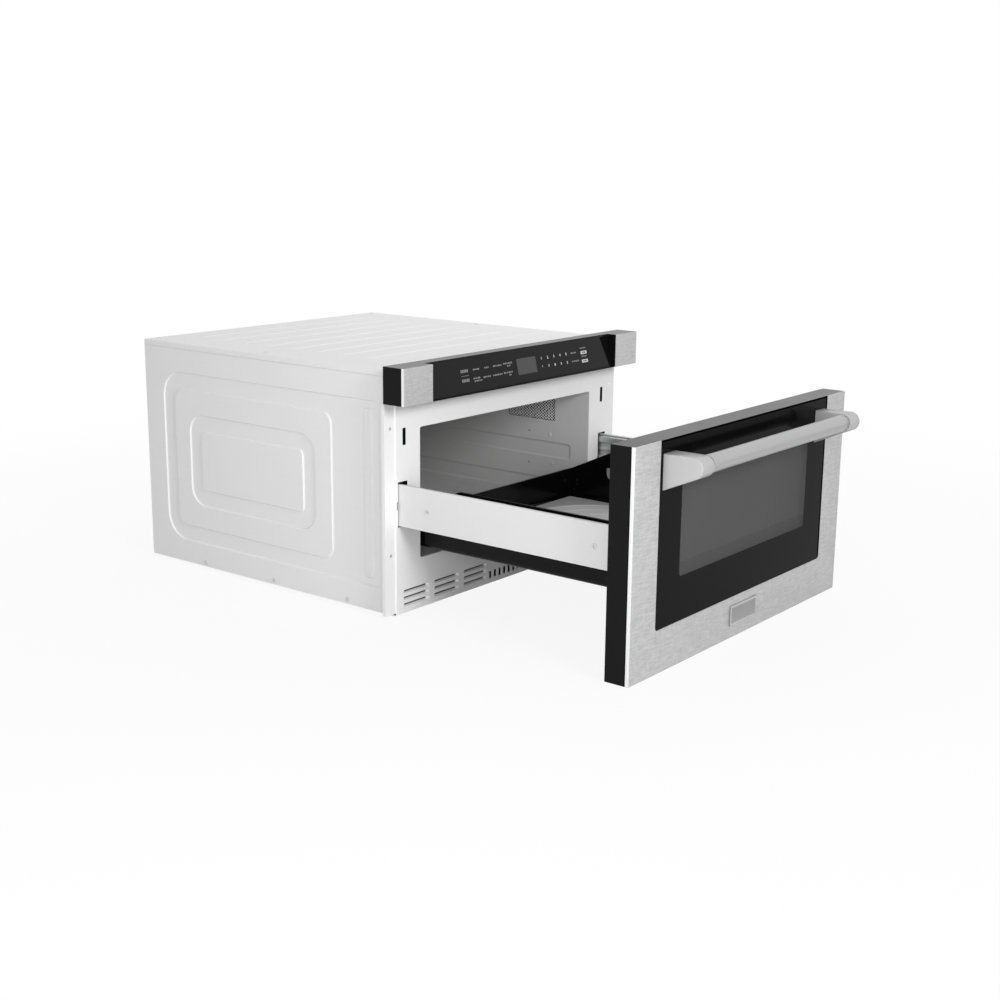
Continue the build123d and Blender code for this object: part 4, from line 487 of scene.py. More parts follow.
# The sheet's back and the cut sides of the rail and latch slots take the near-black coat: painted shade in the slots
# and behind the sheet.
coat(plate, reverse_coat_painted_shade, lambda face: face.center.z > LOUVRES_END and (
    face.normal.y > 0.5 or abs(face.normal.x) > 0.5 and SLOT_NEAR < abs(face.center.x) < SLOT_FAR))
settle(plate, "cabinet", "white_paint", "front_plate")
bpy.data.objects.remove(level)
bpy.data.objects.remove(upright)

# -------- base, back and brackets
# Bare galvanised steel on the base tray, the rear sheet with its fan outlet, the moving slides, the waveguide and the
# magnetron; dark phosphated steel on the slide brackets, the fixed slides and the latch housings. The zinc shows its
# soft spangle.
zinc_fx, socket = effect("zinc_spangle", Spangle=200.0, Contrast=0.07)
cells = add(zinc_fx, "ShaderNodeTexVoronoi", {"Vector": socket["Vector"], "Scale": socket["Spangle"]})
facet = add(zinc_fx, "ShaderNodeSeparateXYZ", {0: cells.outputs["Color"]}).outputs
shade = calc(zinc_fx, "MULTIPLY_ADD", calc(zinc_fx, "SUBTRACT", facet[0], 0.5), socket["Contrast"], 1.0)
dull = calc(zinc_fx, "MULTIPLY", facet[1], socket["Contrast"])
add(zinc_fx, "NodeGroupOutput", {"Shade": shade, "Rough": dull, "Height": facet[2]})


def spangled(name, tone, rough, spangle, contrast, bump, depth, **plain):
    """A finish with the crystals of bare or plated metal."""
    return finish(name, tone, rough, zinc_fx, {"Spangle": spangle, "Contrast": contrast}, bump, depth, **plain)


zinc = spangled("galvanised_zinc", (0.55, 0.555, 0.56), 0.40, 200.0, 0.07, 0.04, 0.0001, Metallic=0.8)
dark_steel = spangled("phosphated_steel", 0.012, 0.5, 400.0, 0.07, 0.05, 0.0001, IOR=1.15)
dress(zinc, "base_plate", "back_panel", "slide_moving_left", "slide_moving_right", "waveguide", "magnetron")
dress(dark_steel, "slide_brackets", "latch_housings", "slide_fixed_left", "slide_fixed_right")

# -------- middle slides
# The members between the cabinet's slides and the drawer's: rolled steel strip with two
# rounded ball races and a stiffening bead along the web. They run out half as far.
SLIDE_Z = 177.0
race = [(265.4, 199.5), (255.0, 199.5), (253.6, 199.0), (253.1, 197.6), (253.1, 190.5), (253.5, 189.2),
        (255.6, 187.4), (256.1, 186.2), (256.1, 181.0), (255.7, 180.0), (254.7, 178.6), (254.5, SLIDE_Z)]
race += [(x, 2 * SLIDE_Z - z) for x, z in reversed(race[:-1])]
for side, word in ((-1, "left"), (1, "right")):
    bm = bmesh.new()
    skin_strip(bm, [[(side * x, y, z) for x, z in race] for y in (-191.8, -190.0, 246.4, 248.2)])
    flip(bm, lambda face: side < 0)
    strip = thicken(piece("slide_strip_" + word, bm, zinc, 50.0), 1.2, 50.0)
    settle(strip, "slide_middle_" + word, "zinc", "slide_middle_" + word)

# -------- cavity
# Welded steel box behind the front plate, painted inside, with long wall beads, a
# perforated vent window, the lamp's lens and the stirrer's mica cover.
cavity_paint = painted("cavity_paint", 0.595, 0.42, 500.0, 0.05, 0.12, 0.08, 0.0002, IOR=1.35)
dress(cavity_paint, "cavity_liner")


def circle(radius, count):
    """Points round a circle at the origin."""
    return [(radius * cos(2 * pi * i / count), radius * sin(2 * pi * i / count)) for i in range(count)]


# Sloped edges of the beads pressed into both walls, and the small marks of the spot welds.
WALL_X = 221.5
bm = bmesh.new()
for side in (-1, 1):
    for low in (90.0, 156.0):
        skin_loops(bm, [[(side * x, y, z) for y, z in ring(37.6, 401.6, low - 0.3, low + 28.3, 8, 8, inset=inset)]
                        for x, inset in ((221.4, 0.0), (221.6, 0.3), (222.2, 1.6), (222.7, 2.9), (222.88, 3.6))], False)
    for y, z, radius, high in ((129.0, 198.7, 1.8, 0.5), (83.4, 196.3, 5.0, 0.6), (128.5, 141.2, 1.8, 0.5),
                               (78.3, 146.3, 5.0, 0.6)):
        skin_loops(bm, [[(side * (WALL_X + 0.05 - h * high), y + dy, z + dz) for dy, dz in circle(r * radius, 20)]
                        for r, h in ((1.0, 0.0), (0.85, 0.5), (0.6, 0.85), (0.25, 1.0))])
flip(bm, lambda face: face.normal.x * face.calc_center_median().x > 0)
weld_grey = painted("weld_grey", 0.20, 0.5, 500.0, 0.1, 0.08, 0.1, 0.0002, IOR=1.3)
marks = piece("liner_marks", bm, cavity_paint, 50.0)
WELD_Y, WELD_Z, WELD_NEAR = 0.1288, (0.1987, 0.1412), 0.0022
coat(marks, weld_grey, lambda face: abs(face.center.y - WELD_Y) < WELD_NEAR
     and any(abs(face.center.z - z) < WELD_NEAR for z in WELD_Z))
settle(marks, "cabinet", "cavity_paint")

# The vent window: a thin sheet with staggered round holes, made of one pierced cell that
# is repeated, inside a plain border lapped behind the wall.
CELL_Y, CELL_Z, HOLE_R, HOLE_SIDES = 3.24, 5.15, 1.84, 16
VENT_Y, VENT_Z, VENT_COLUMNS, VENT_ROWS = 76.0, 224.15, 31, 8
bm = bmesh.new()
rim, lip = [], []
for i in range(HOLE_SIDES):
    a = 2 * pi * i / HOLE_SIDES
    slant = 1.0 / (abs(cos(a)) / CELL_Y + abs(sin(a)) / (CELL_Z / 2))
    for loop, reach in ((rim, slant), (lip, min(HOLE_R, slant * 0.94))):
        loop.append(bm.verts.new(mm(0, reach * cos(a), reach * sin(a))))
for i in range(HOLE_SIDES):
    bm.faces.new((rim[i - 1], lip[i - 1], lip[i], rim[i]))
grille_paint = painted("grille_paint", 0.90, 0.42, 500.0, 0.05, 0.1, 0.05, 0.0001, IOR=1.35)
cell = piece("vent_cell", bm, grille_paint)
bm = bmesh.new()
y0, y1 = VENT_Y - CELL_Y, VENT_Y + CELL_Y * VENT_COLUMNS
z0, z1 = VENT_Z - CELL_Z / 2, VENT_Z + CELL_Z * VENT_ROWS
outer, inner = [[bm.verts.new(mm(WALL_X, y, z)) for y, z in ((near, low), (far, low), (far, high), (near, high))]
                for near, far, low, high in ((72.2, 183.8, 216.2, 265.8), (y0, y1, z0, z1))]
for i in range(4):
    bm.faces.new((outer[i - 1], inner[i - 1], inner[i], outer[i]))
grille = piece("vent_grille", bm, grille_paint)
grow(grille, array, 35.0, Form=cell, First=mm(WALL_X, VENT_Y, VENT_Z), Across=mm(0.0, CELL_Y, 0.0),
     Up=mm(0.0, 0.0, CELL_Z), Stagger=mm(0.0, 0.0, CELL_Z / 2), Columns=VENT_COLUMNS, Rows=VENT_ROWS,
     Finish=grille_paint)
bm = bmesh.new()
bm.from_mesh(grille.data)
bmesh.ops.remove_doubles(bm, verts=bm.verts, dist=0.02 * MM)
grille.data.materials.append(cavity_paint)
for face in bm.faces:
    middle = face.calc_center_median() / MM
    face.material_index = 0 if y0 < middle.y < y1 and z0 < middle.z < z1 else 1
flip(bm, lambda face: face.normal.x > 0)
bm.to_mesh(grille.data)
bm.free()
thicken(grille, 0.7, 35.0)
settle(grille, "cabinet", "cavity_paint", "vent_screen")
bpy.data.objects.remove(cell)
dress(painted("mica", (0.70, 0.66, 0.58), 0.5, 240.0, 0.2, 0.2, 0.1, 0.0003), "stirrer_cover")
dress(painted("lamp_lens", (0.80, 0.80, 0.78), 0.2, 900.0, 0.05, 0.05, 0.2, 0.0002), "cavity_lamp")
dress(painted("duct_lining", 0.004, 0.7, 600.0, 0.3, 0.1, 0.1, 0.0002, IOR=1.08), "air_duct")

# -------- works inside
# What makes the heat and moves the air: transformer, capacitor, power board, fins, motors
# and fans. They only show through the rear slots and with the cover off.
black_sheet = painted("black_sheet", 0.02, 0.5, 900.0, 0.2, 0.1, 0.2, 0.0002, IOR=1.3)
dress(black_sheet, "fan_shroud", "fan_motor", "stirrer_motor", "drive_motor", "interlock_switches", "fan_blade",
      "cord_gland")
dress(spangled("core_laminations", (0.22, 0.22, 0.24), 0.45, 400.0, 0.3, 0.1, 0.0003, Metallic=0.8),
      "transformer_core")
dress(spangled("enamelled_copper", (0.50, 0.20, 0.08), 0.32, 700.0, 0.3, 0.2, 0.0004, Metallic=0.7),
      "transformer_coils")
dress(spangled("cast_alloy", (0.74, 0.74, 0.75), 0.34, 500.0, 0.1, 0.08, 0.0002, Metallic=0.9),
      "magnetron_fins", "capacitor", "stirrer_blade")
dress(painted("circuit_board", (0.03, 0.14, 0.06), 0.4, 300.0, 0.3, 0.2, 0.1, 0.0003), "power_board")
dress(painted("nylon", (0.72, 0.71, 0.66), 0.4, 800.0, 0.06, 0.1, 0.1, 0.0002), "drive_rack", "drive_pinion")

# -------- control panel
# Moulded black housing over the cavity, two stainless end caps, a sloping touch glass
# with printed keys and a small display window.
black_plastic = painted("black_moulding", 0.005, 0.24, 1400.0, 0.2, 0.12, 0.08, 0.0001, IOR=1.23)
dress(black_plastic, "control_housing")
dress(painted("black_glass", 0.005, 0.05, 4.0, 0.1, 0.02, 0.0, 0.0001, IOR=1.25), "control_glass")
dress(black_sheet, "display_module")

# Brushed steel: short strokes both ways, as a random-brushed sheet has.
grain_fx, socket = effect("brushed_grain", Long=34.0, Fine=520.0, Contrast=0.16, Cross=0.8)
axis = add(grain_fx, "ShaderNodeSeparateXYZ", {0: socket["Vector"]}).outputs
strokes = []
for x_scale, z_scale, offset in (("Long", "Fine", 0.0), ("Fine", "Long", 7.0)):
    x = calc(grain_fx, "MULTIPLY", axis[0], socket[x_scale])
    y = calc(grain_fx, "MULTIPLY_ADD", axis[1], socket["Fine"], offset)
    z = calc(grain_fx, "MULTIPLY", axis[2], socket[z_scale])
    spot = add(grain_fx, "ShaderNodeCombineXYZ", {0: x, 1: y, 2: z})
    noise = add(grain_fx, "ShaderNodeTexNoise", {"Vector": spot.outputs[0], "Scale": 1.0, "Detail": 4.0,
                                                 "Roughness": 0.7})
    strokes.append(calc(grain_fx, "SUBTRACT", noise.outputs["Fac"], 0.5))
cross = calc(grain_fx, "MULTIPLY_ADD", strokes[1], socket["Cross"], strokes[0])
shade = calc(grain_fx, "MULTIPLY_ADD", cross, socket["Contrast"], 1.0)
add(grain_fx, "NodeGroupOutput", {"Shade": shade, "Rough": calc(grain_fx, "MULTIPLY", cross, 0.25), "Height": cross})
coarse = {"Long": 60.0, "Fine": 470.0, "Contrast": 0.85, "Cross": 0.55}
stainless = finish("brushed_stainless", (0.53, 0.53, 0.533), 0.5, grain_fx, coarse, 0.35, 0.0002, Metallic=0.45)
cap_steel = finish("cap_steel", (0.59, 0.59, 0.593), 0.5, grain_fx, coarse, 0.35, 0.0002, Metallic=0.45)
# A paler steel for the folded edges: a painted highlight.
edge_painted_highlight = finish("edge_painted_highlight", 0.88, 0.35, grain_fx, {"Contrast": 0.1}, 0.1, 0.0001, Metallic=0.3)


def folded_sheet(name, faces, material, thickness, radius):
    """Faces that share edges, folded with a small radius and given their thickness."""
    bm = bmesh.new()
    for points in faces:
        bm.faces.new([bm.verts.new(mm(*point)) for point in points])
    bmesh.ops.remove_doubles(bm, verts=bm.verts, dist=0.01 * MM)
    folds = [edge for edge in bm.edges if len(edge.link_faces) == 2 and edge.calc_face_angle() > 0.5]
    bmesh.ops.bevel(bm, geom=folds, offset=radius * MM, segments=3, affect="EDGES", profile=0.5)
    return thicken(piece(name, bm, material, 40.0), thickness, 40.0)


def bright_return(face):
    """The narrow sides and the top edge of a steel face, which get a paler finish as a painted highlight."""
    side = abs(face.normal.x) > 0.9 and abs(face.center.x) > 0.3
    return side or face.normal.z > 0.9 and abs(face.center.z - 0.32) < 0.001


for side, word in ((-1, "left"), (1, "right")):
    inner, outer = side * 238.5, side * 302.15
    front, back, low, high = -40.5, -35.8, 327.0, 382.0
    faces = [[(inner, front, low), (outer, front, low), (outer, front, high), (inner, front, high)],
             [(outer, front, low), (outer, back, low), (outer, back, high), (outer, front, high)]]
    if side < 0:
        faces = [face[::-1] for face in faces]
    cap = folded_sheet("end_cap_" + word, faces, cap_steel, 0.8, 0.7)
    coat(cap, edge_painted_highlight, bright_return)
    settle(cap, "cabinet", "stainless", "control_cap_" + word)

# -------- key legends
# White print on the glass: ten digits, plain marks for the other keys, two light boxes,
# and the grey window of the display.
GLASS_FOOT, GLASS_LEAN = Vector((0.0, -34.5, 328.5)), Vector((0.0, 12.5, 53.5)).normalized()
GLASS_OUT = Vector((0.0, -GLASS_LEAN.z, GLASS_LEAN.y))
INK = 0.03


def on_glass(x, z, lift=0.04):
    """A point on the sloping glass at an x and a height."""
    rise = (z - GLASS_FOOT.z) / GLASS_LEAN.z
    return (GLASS_FOOT + Vector((x, 0, 0)) + GLASS_LEAN * rise + GLASS_OUT * lift) * MM


def mark(bm, x0, x1, z0, z1, lift=0.04):
    """One printed rectangle on the glass."""
    bm.faces.new([bm.verts.new(on_glass(x, z, lift)) for x, z in ((x0, z0), (x1, z0), (x1, z1), (x0, z1))])


def dashes(bm, x0, x1, z, height, widths):
    """A row of short marks with gaps, as wide in all as the key."""
    unit = (x1 - x0) / (sum(widths) + 0.5 * (len(widths) - 1))
    x = x0
    for width in widths:
        mark(bm, x, x + width * unit, z - height / 2, z + height / 2)
        x += (width + 0.5) * unit


bright, faint, dark, display = bmesh.new(), bmesh.new(), bmesh.new(), bmesh.new()
for x0, x1, z, widths in (
        (-130, -115, 361, (2, 1, 2)), (-102, -92, 361, (1, 1, 1)), (-81, -60, 361, (2, 1, 1, 2, 1)),
        (-55, -33, 362, (1, 2, 1, 2, 2)), (-132, -116, 348, (1, 1, 2)), (-108, -90, 347.5, (2, 1, 1, 1)),
        (-84, -61, 347.5, (1, 2, 2, 1, 1)), (-57, -35, 348, (2, 1, 2, 1)), (-130, -112, 344, (1, 2, 1, 1)),
        (125, 140, 360.5, (2, 1, 1, 1)), (125, 145, 347, (1, 1, 2, 1)), (-46, -38, 358, (1, 1)),
        (-44, -39, 344, (1,)), (153, 168, 366, (1, 1, 1, 1)), (154, 168, 352.6, (1, 1, 1))):
    dashes(faint, x0, x1, z, 2.1, widths)
for z in (361, 347):
    dashes(faint, -159, -142, z, 4.4, (1, 1, 1, 1, 1))
mark(faint, -159, -142, 353.6, 354.2)
for z in (358.6, 344.8):
    mark(bright, 153, 170, z - 2.5, z + 2.5)
    mark(dark, 157, 159.5, z - 1.2, z + 1.2, 0.09)
    mark(dark, 161, 166, z - 1.2, z + 1.2, 0.09)
mark(display, -21, 28.5, 341, 365.7, 0.03)
white_print, grey_print, dark_print = [
    painted(name, tone, 0.5, 900.0, 0.05, 0.05, 0.05, 0.0001)
    for name, tone in (("white_print", 0.62), ("grey_print", 0.22), ("dark_print", 0.03))]
window_grey = painted("display_window", 0.065, 0.12, 30.0, 0.3, 0.05, 0.0, 0.0001, IOR=1.3)


def printed(name, bm, ink):
    """One layer of print, which faces out of the glass."""
    flip(bm, lambda face: face.normal.y > 0)
    settle(thicken(piece(name, bm, ink), INK), "cabinet", "control_glass")


printed("light_legends", bright, white_print)
printed("grey_legends", faint, grey_print)
printed("dark_legends", dark, dark_print)
digits = bpy.data.curves.new("digits", "FONT")
digits.size, digits.offset = 5.8 * MM, 0.00022
digits.align_x, digits.align_y = "CENTER", "CENTER"
bm = bmesh.new()
for i, digit in enumerate("1234567890"):
    digits.body = digit
    holder = bpy.data.objects.new("digit", digits)
    scene.collection.objects.link(holder)
    bpy.context.view_layer.update()
    glyph = bpy.data.meshes.new_from_object(holder.evaluated_get(bpy.context.evaluated_depsgraph_get()))
    place = Matrix.Translation(on_glass(44 + 17 * (i % 5), 360.5 - 13.5 * (i // 5)))
    glyph.transform(place @ Matrix.Rotation(radians(90.0) - 0.2295, 4, "X"))
    bm.from_mesh(glyph)
    bpy.data.objects.remove(holder)
settle(thicken(piece("digit_legends", bm, white_print), INK), "cabinet", "control_glass")
printed("display_window", display, window_grey)

# -------- door
# Black moulded frame with a stainless face folded round its edges, a black-bordered
# glass, the perforated screen behind it and a steel inner panel.
dress(black_plastic, "door_frame")
x, y, z0, z1, glass_x, glass_z, back = 302.0, -435.5, -4.0, 320.0, 241.0, 58.5, -429.5
corner = [(glass_x - 5 + 5 * sin(radians(a)), glass_z + 5 - 5 * cos(radians(a))) for a in range(0, 91, 15)]
outline = [(-x, z0), (x, z0), (x, z1), (glass_x, z1)] + corner[::-1]
outline += [(-px, pz) for px, pz in corner] + [(-glass_x, z1), (-x, z1)]
left_side = [(-x, y, z0), (-x, y, z1), (-x, back, z1), (-x, back, z0)]
right_side = [(x, y, z0), (x, back, z0), (x, back, z1), (x, y, z1)]
foot = [(-x, y, z0), (-x, back, z0), (x, back, z0), (x, y, z0)]
front = [(px, y, pz) for px, pz in outline]
face = folded_sheet("door_face", [front, left_side, right_side, foot], stainless, 0.8, 0.8)
coat(face, edge_painted_highlight, bright_return)
settle(face, "drawer", "stainless", "door_skin")


def past_oblong(tree, across, along, middle, half_across, half_along):
    """How far a point lies outside a rectangle round a middle line, in metres."""
    off = []
    for value, centre, half in ((across, 0.0, half_across), (along, middle, half_along)):
        value = calc(tree, "ABSOLUTE", calc(tree, "SUBTRACT", value, centre))
        off.append(calc(tree, "MAXIMUM", calc(tree, "SUBTRACT", value, half), 0.0))
    spot = add(tree, "ShaderNodeCombineXYZ", {0: off[0], 1: off[1]})
    return add(tree, "ShaderNodeVectorMath", {0: spot.outputs[0]}, operation="LENGTH").outputs["Value"]


# The glass is printed black round its window, on its front face only.
pane_fx, socket = effect("window_mask", ("Shade", "Rough", "Height", "Alpha"), Clear=0.5)
axis = add(pane_fx, "ShaderNodeSeparateXYZ", {0: socket["Vector"]}).outputs
edge = ramp(pane_fx, past_oblong(pane_fx, axis[0], axis[2], 0.2025, 0.1785, 0.0755), 0.0036, 0.0044, 0.0, 1.0)
front = calc(pane_fx, "LESS_THAN", axis[1], -0.4326)
edge = calc(pane_fx, "MAXIMUM", calc(pane_fx, "MULTIPLY", edge, front), socket["Clear"])
add(pane_fx, "NodeGroupOutput", {"Shade": 1.0, "Rough": 0.0, "Height": 0.5, "Alpha": edge})
CLEAR = 0.25
pane = finish("door_pane", 0.003, 0.04, pane_fx, {"Clear": CLEAR}, 0.0, 0.0001, IOR=1.135)
# Light that has passed the clear part reaches the screen's edge under the print too.
tree = pane.node_tree
path = add(tree, "ShaderNodeLightPath")
inside = calc(tree, "MAXIMUM", path.outputs["Is Shadow Ray"], path.outputs["Is Diffuse Ray"])
alpha = add(tree, "ShaderNodeMix", {"Factor": inside, "A": tree.nodes["effect"].outputs["Alpha"], "B": CLEAR},
            data_type="FLOAT")
tree.links.new(alpha.outputs["Result"], tree.nodes["Principled BSDF"].inputs["Alpha"])
dress(pane, "door_glass")

# Perforated screen: staggered dark holes in a grey sheet, with painted shade that darkens it towards its sill and its
# right-hand side.
screen_shade_fx, socket = effect("screen_holes_painted_shade", Pitch=500.0, Hole=0.34)
spread = add(screen_shade_fx, "ShaderNodeMapping", {"Vector": socket["Vector"]})
size = add(screen_shade_fx, "ShaderNodeCombineXYZ", {0: socket["Pitch"], 1: 0.0, 2: socket["Pitch"]})
screen_shade_fx.links.new(size.outputs[0], spread.inputs["Scale"])
dots = add(screen_shade_fx, "ShaderNodeTexVoronoi", {"Vector": spread.outputs[0], "Scale": 1.0, "Randomness": 0.0})
solid = ramp(screen_shade_fx, dots.outputs["Distance"], socket["Hole"], 0.46, 0.86, 1.06)
axis = add(screen_shade_fx, "ShaderNodeSeparateXYZ", {0: socket["Vector"]}).outputs
# Painted shade: the screen is darker below its sill line and towards its right-hand side.
shade = calc(screen_shade_fx, "MULTIPLY", solid, ramp(screen_shade_fx, axis[2], 0.140, 0.142, 0.84, 1.0))
shade = calc(screen_shade_fx, "MULTIPLY", shade, ramp(screen_shade_fx, axis[0], 0.08, 0.18, 1.0, 0.86))
add(screen_shade_fx, "NodeGroupOutput", {"Shade": shade, "Rough": 0.0, "Height": solid})
dress(finish("perforated_screen", 0.20, 0.55, screen_shade_fx, {}, 0.1, 0.0002, IOR=1.3), "window_screen")
dress(painted("inner_panel_enamel", 0.03, 0.35, 600.0, 0.2, 0.1, 0.1, 0.0002, IOR=1.35), "inner_panel")
dress(painted("seal_rubber", 0.03, 0.6, 1200.0, 0.3, 0.1, 0.2, 0.0002, IOR=1.3), "door_seal")

# Latch hooks behind both ends of the door.
hook_grey = painted("hook_nylon", 0.10, 0.4, 800.0, 0.1, 0.1, 0.1, 0.0002)
hook = [(-395.5, 260.0), (-372.0, 260.0), (-367.5, 261.2), (-364.2, 264.0), (-362.6, 268.0), (-362.4, 275.6),
        (-379.0, 275.6), (-379.0, 271.0), (-390.0, 271.0), (-395.5, 277.0)]
bm = bmesh.new()
for side in (-1, 1):
    a, b = [[bm.verts.new(mm(side * x, y, z)) for y, z in hook] for x in (255.5, 258.5)]
    faces = [bm.faces.new(a), bm.faces.new(b[::-1])]
    faces += [bm.faces.new((a[i], a[i - 1], b[i - 1], b[i])) for i in range(len(hook))]
    bmesh.ops.recalc_face_normals(bm, faces=faces)
bmesh.ops.bevel(bm, geom=bm.edges[:], offset=0.4 * MM, segments=2, affect="EDGES", profile=0.5)
settle(piece("hook_pair", bm, hook_grey, 35.0), "drawer", "nylon", "latch_hooks")

# Black strips in the joints, as painted shadow: over the glass and at its sides, and behind the steel's folded edges.
shadow_gap_black = painted("shadow_gap_paint", 0.0005, 0.9, 900.0, 0.2, 0.05, 0.1, 0.0001, IOR=1.05)
# Painted shadow gaps, drawn as thin black blocks.
bm = bmesh.new()
solid_block(bm, (-241.2, -435.45, 317.2), (241.2, -434.6, 319.4))
for side in (-1, 1):
    for near, far, front, back, low, high in ((301.9, 302.15, -429.5, -428.2, -3.5, 319.6),
                                              (239.4, 241.2, -435.45, -434.6, 59.5, 317.4)):
        x0, x1 = sorted((side * near, side * far))
        solid_block(bm, (x0, front, low), (x1, back, high))
settle(piece("seal_beads", bm, shadow_gap_black), "drawer", "black_plastic")

# -------- handle
# Satin tube let into two cast brackets that stand on the glass. The tube's ends step down into the brackets and are
# coated near-black there as painted shade. Each bracket gets a paler copy of its finish on its side faces and a darker
# one on its rim: painted light and shade.
satin = painted("satin_metal", (0.45, 0.45, 0.453), 0.33, 1800.0, 0.03, 0.08, 0.04, 0.0001, Metallic=0.75)
cast = painted("cast_satin_lit_side", (0.545, 0.545, 0.548), 0.42, 1500.0, 0.04, 0.1, 0.05, 0.0001, Metallic=0.25)
cast_rim_painted_shade = painted("cast_rim_painted_shade", (0.46, 0.46, 0.463), 0.38, 1500.0, 0.04, 0.1, 0.05, 0.0001, Metallic=0.4)
HANDLE_Y, HANDLE_Z, TUBE_R, ARM_R, NOSE_Z = -480.5, 288.0, 12.7, 14.4, 287.1
half = [(0, TUBE_R), (60, TUBE_R), (120, TUBE_R), (180, TUBE_R), (200.6, TUBE_R), (201.4, TUBE_R - 0.4),
        (201.6, TUBE_R - 1.2), (211, TUBE_R - 1.2)]
bm = bmesh.new()
skin_loops(bm, [[(x, HANDLE_Y + y, HANDLE_Z + z) for y, z in circle(r, 64)]
                for x, r in [(-x, r) for x, r in reversed(half[1:])] + half], False)
bmesh.ops.recalc_face_normals(bm, faces=bm.faces)
tube = thicken(piece("handle_bar", bm, satin), 1.5)
# Painted shade: the stepped-down ends inside the brackets get the near-black steel.
coat(tube, dark_steel, lambda face: abs(face.center.x) > 0.2005)
settle(tube, "drawer", "satin_metal", "handle_tube")

for side, word in ((-1, "left"), (1, "right")):
    foot_y, top, low = -434.7, 301.5, 251.5
    reach = hypot(foot_y - HANDLE_Y, low - NOSE_Z)
    touch = atan2(low - NOSE_Z, foot_y - HANDLE_Y) - acos(ARM_R / reach)
    arc = [touch + (-1.5 * pi - touch) * i / 28 for i in range(29)]
    profile = [(foot_y, top), (foot_y, low)] + [(HANDLE_Y + ARM_R * cos(a), NOSE_Z + ARM_R * sin(a)) for a in arc]
    bm = bmesh.new()
    near, far = [[bm.verts.new(mm(side * x, y, z)) for y, z in profile] for x in (203.0, 233.0)]
    for i in range(len(profile)):
        bm.faces.new((near[i - 1], near[i], far[i], far[i - 1]))
    inner, outer = bm.faces.new(near), bm.faces.new(far)
    bmesh.ops.recalc_face_normals(bm, faces=bm.faces)
    rim = [edge for edge in outer.edges if min(vert.co.y for vert in edge.verts) < (foot_y - 0.1) * MM]
    bmesh.ops.bevel(bm, geom=rim, offset=1.4 * MM, segments=4, affect="EDGES", profile=0.5)
    rim = [edge for face in bm.faces if abs(face.normal.x + side) < 0.01 for edge in face.edges]
    bmesh.ops.bevel(bm, geom=rim, offset=0.5 * MM, segments=2, affect="EDGES", profile=0.5)
    arm = piece("handle_arm_" + word, bm, cast, 35.0)
    # Painted light and shade: the rim takes the darker copy of the cast finish, the side faces the paler one.
    coat(arm, cast_rim_painted_shade, lambda face: abs(face.normal.x) < 0.75)
    settle(arm, "drawer", "satin_metal", "handle_bracket_" + word)

# -------- plaque
# A bare plaque in the door's lower band: pressed steel with a flat rim, a bevel and a
# sunk, darker brushed field. Glued on.
PLAQUE_Y = -435.5
bm = bmesh.new()
skin_loops(bm, [[(x, PLAQUE_Y - depth, z) for x, z in ring(-39, 39, 14.5, 45.5, 1.2, 1.2, inset=inset, steps=3)]
                for inset, depth in ((0.0, 0.0), (0.0, 1.5), (0.5, 2.0), (3.6, 2.0), (4.6, 1.2), (4.8, 1.1))])
bmesh.ops.recalc_face_normals(bm, faces=bm.faces)
if any(face.normal.y > 0.5 for face in bm.faces):
    bmesh.ops.reverse_faces(bm, faces=bm.faces)
plaque_steel = finish("plaque_steel", (0.35, 0.35, 0.353), 0.42, grain_fx,
                      {"Long": 55.0, "Fine": 760.0, "Contrast": 0.4, "Cross": 0.3}, 0.2, 0.0002, Metallic=0.6)
plaque = piece("plaque", bm, plaque_steel, 30.0)
coat(plaque, stainless, lambda face: face.normal.y < -0.98 and face.center.y < -0.4374)
settle(plaque, "drawer", "stainless", "badge_plate")

# -------- drawer
# White steel side rails with a folded top edge and foot, the black enamelled pan with its
# rivets, and the ceramic tray that lies in it.
rail_paint = painted("rail_enamel", 0.73, 0.45, 700.0, 0.03, 0.1, 0.06, 0.0002, IOR=1.3)
for side, word in ((-1, "left"), (1, "right")):
    x, x_top, x_foot, y0, y1, z0, z1 = side * 270.0, side * 264.5, side * 252.6, -395.5, 45.0, 139.0, 202.0
    faces = [[(x, y0, z0), (x, y1, z0), (x, y1, z1), (x, y0, z1)],
             [(x, y0, z1), (x, y1, z1), (x_top, y1, z1), (x_top, y0, z1)],
             [(x, y0, z0), (x, y0, z1), (x_foot, y0, z1), (x_foot, y0, z0)]]
    if side < 0:
        faces = [face[::-1] for face in faces]
    rail = folded_sheet("drawer_rail_" + word, faces, rail_paint, 1.2, 0.9)
    settle(rail, "drawer", "white_paint", "side_rail_" + word)
dress(painted("black_enamel", 0.003, 0.14, 350.0, 0.3, 0.1, 0.08, 0.0002, IOR=1.25), "drawer_pan")
spots = [(side * 215.0, y, z, -side, 0) for side in (-1, 1)
         for y, z in ((17.7, 124.4), (17.5, 117.2), (23.7, 107.3), (-377.5, 156.5))]
spots += [(side * 198.9, 32.0, 124.8, 0, -1) for side in (-1, 1)]
bm = bmesh.new()
for x, y, z, out_x, out_y in spots:
    rows = []
    for radius, high in ((2.2, 0.0), (2.1, 0.5), (1.5, 1.0), (0.7, 1.25)):
        rows.append([bm.verts.new(mm(x + out_x * high + out_y * flat, y + out_y * high + out_x * flat, z + up))
                     for flat, up in circle(radius, 16)])
    faces = [bm.faces.new((a[i - 1], a[i], b[i], b[i - 1])) for a, b in zip(rows, rows[1:]) for i in range(16)]
    faces += [bm.faces.new(rows[-1]), bm.faces.new(rows[0][::-1])]
    bmesh.ops.recalc_face_normals(bm, faces=faces)
settle(piece("rivet_heads", bm, dark_steel, 50.0), "drawer", "screw", "pan_rivets")

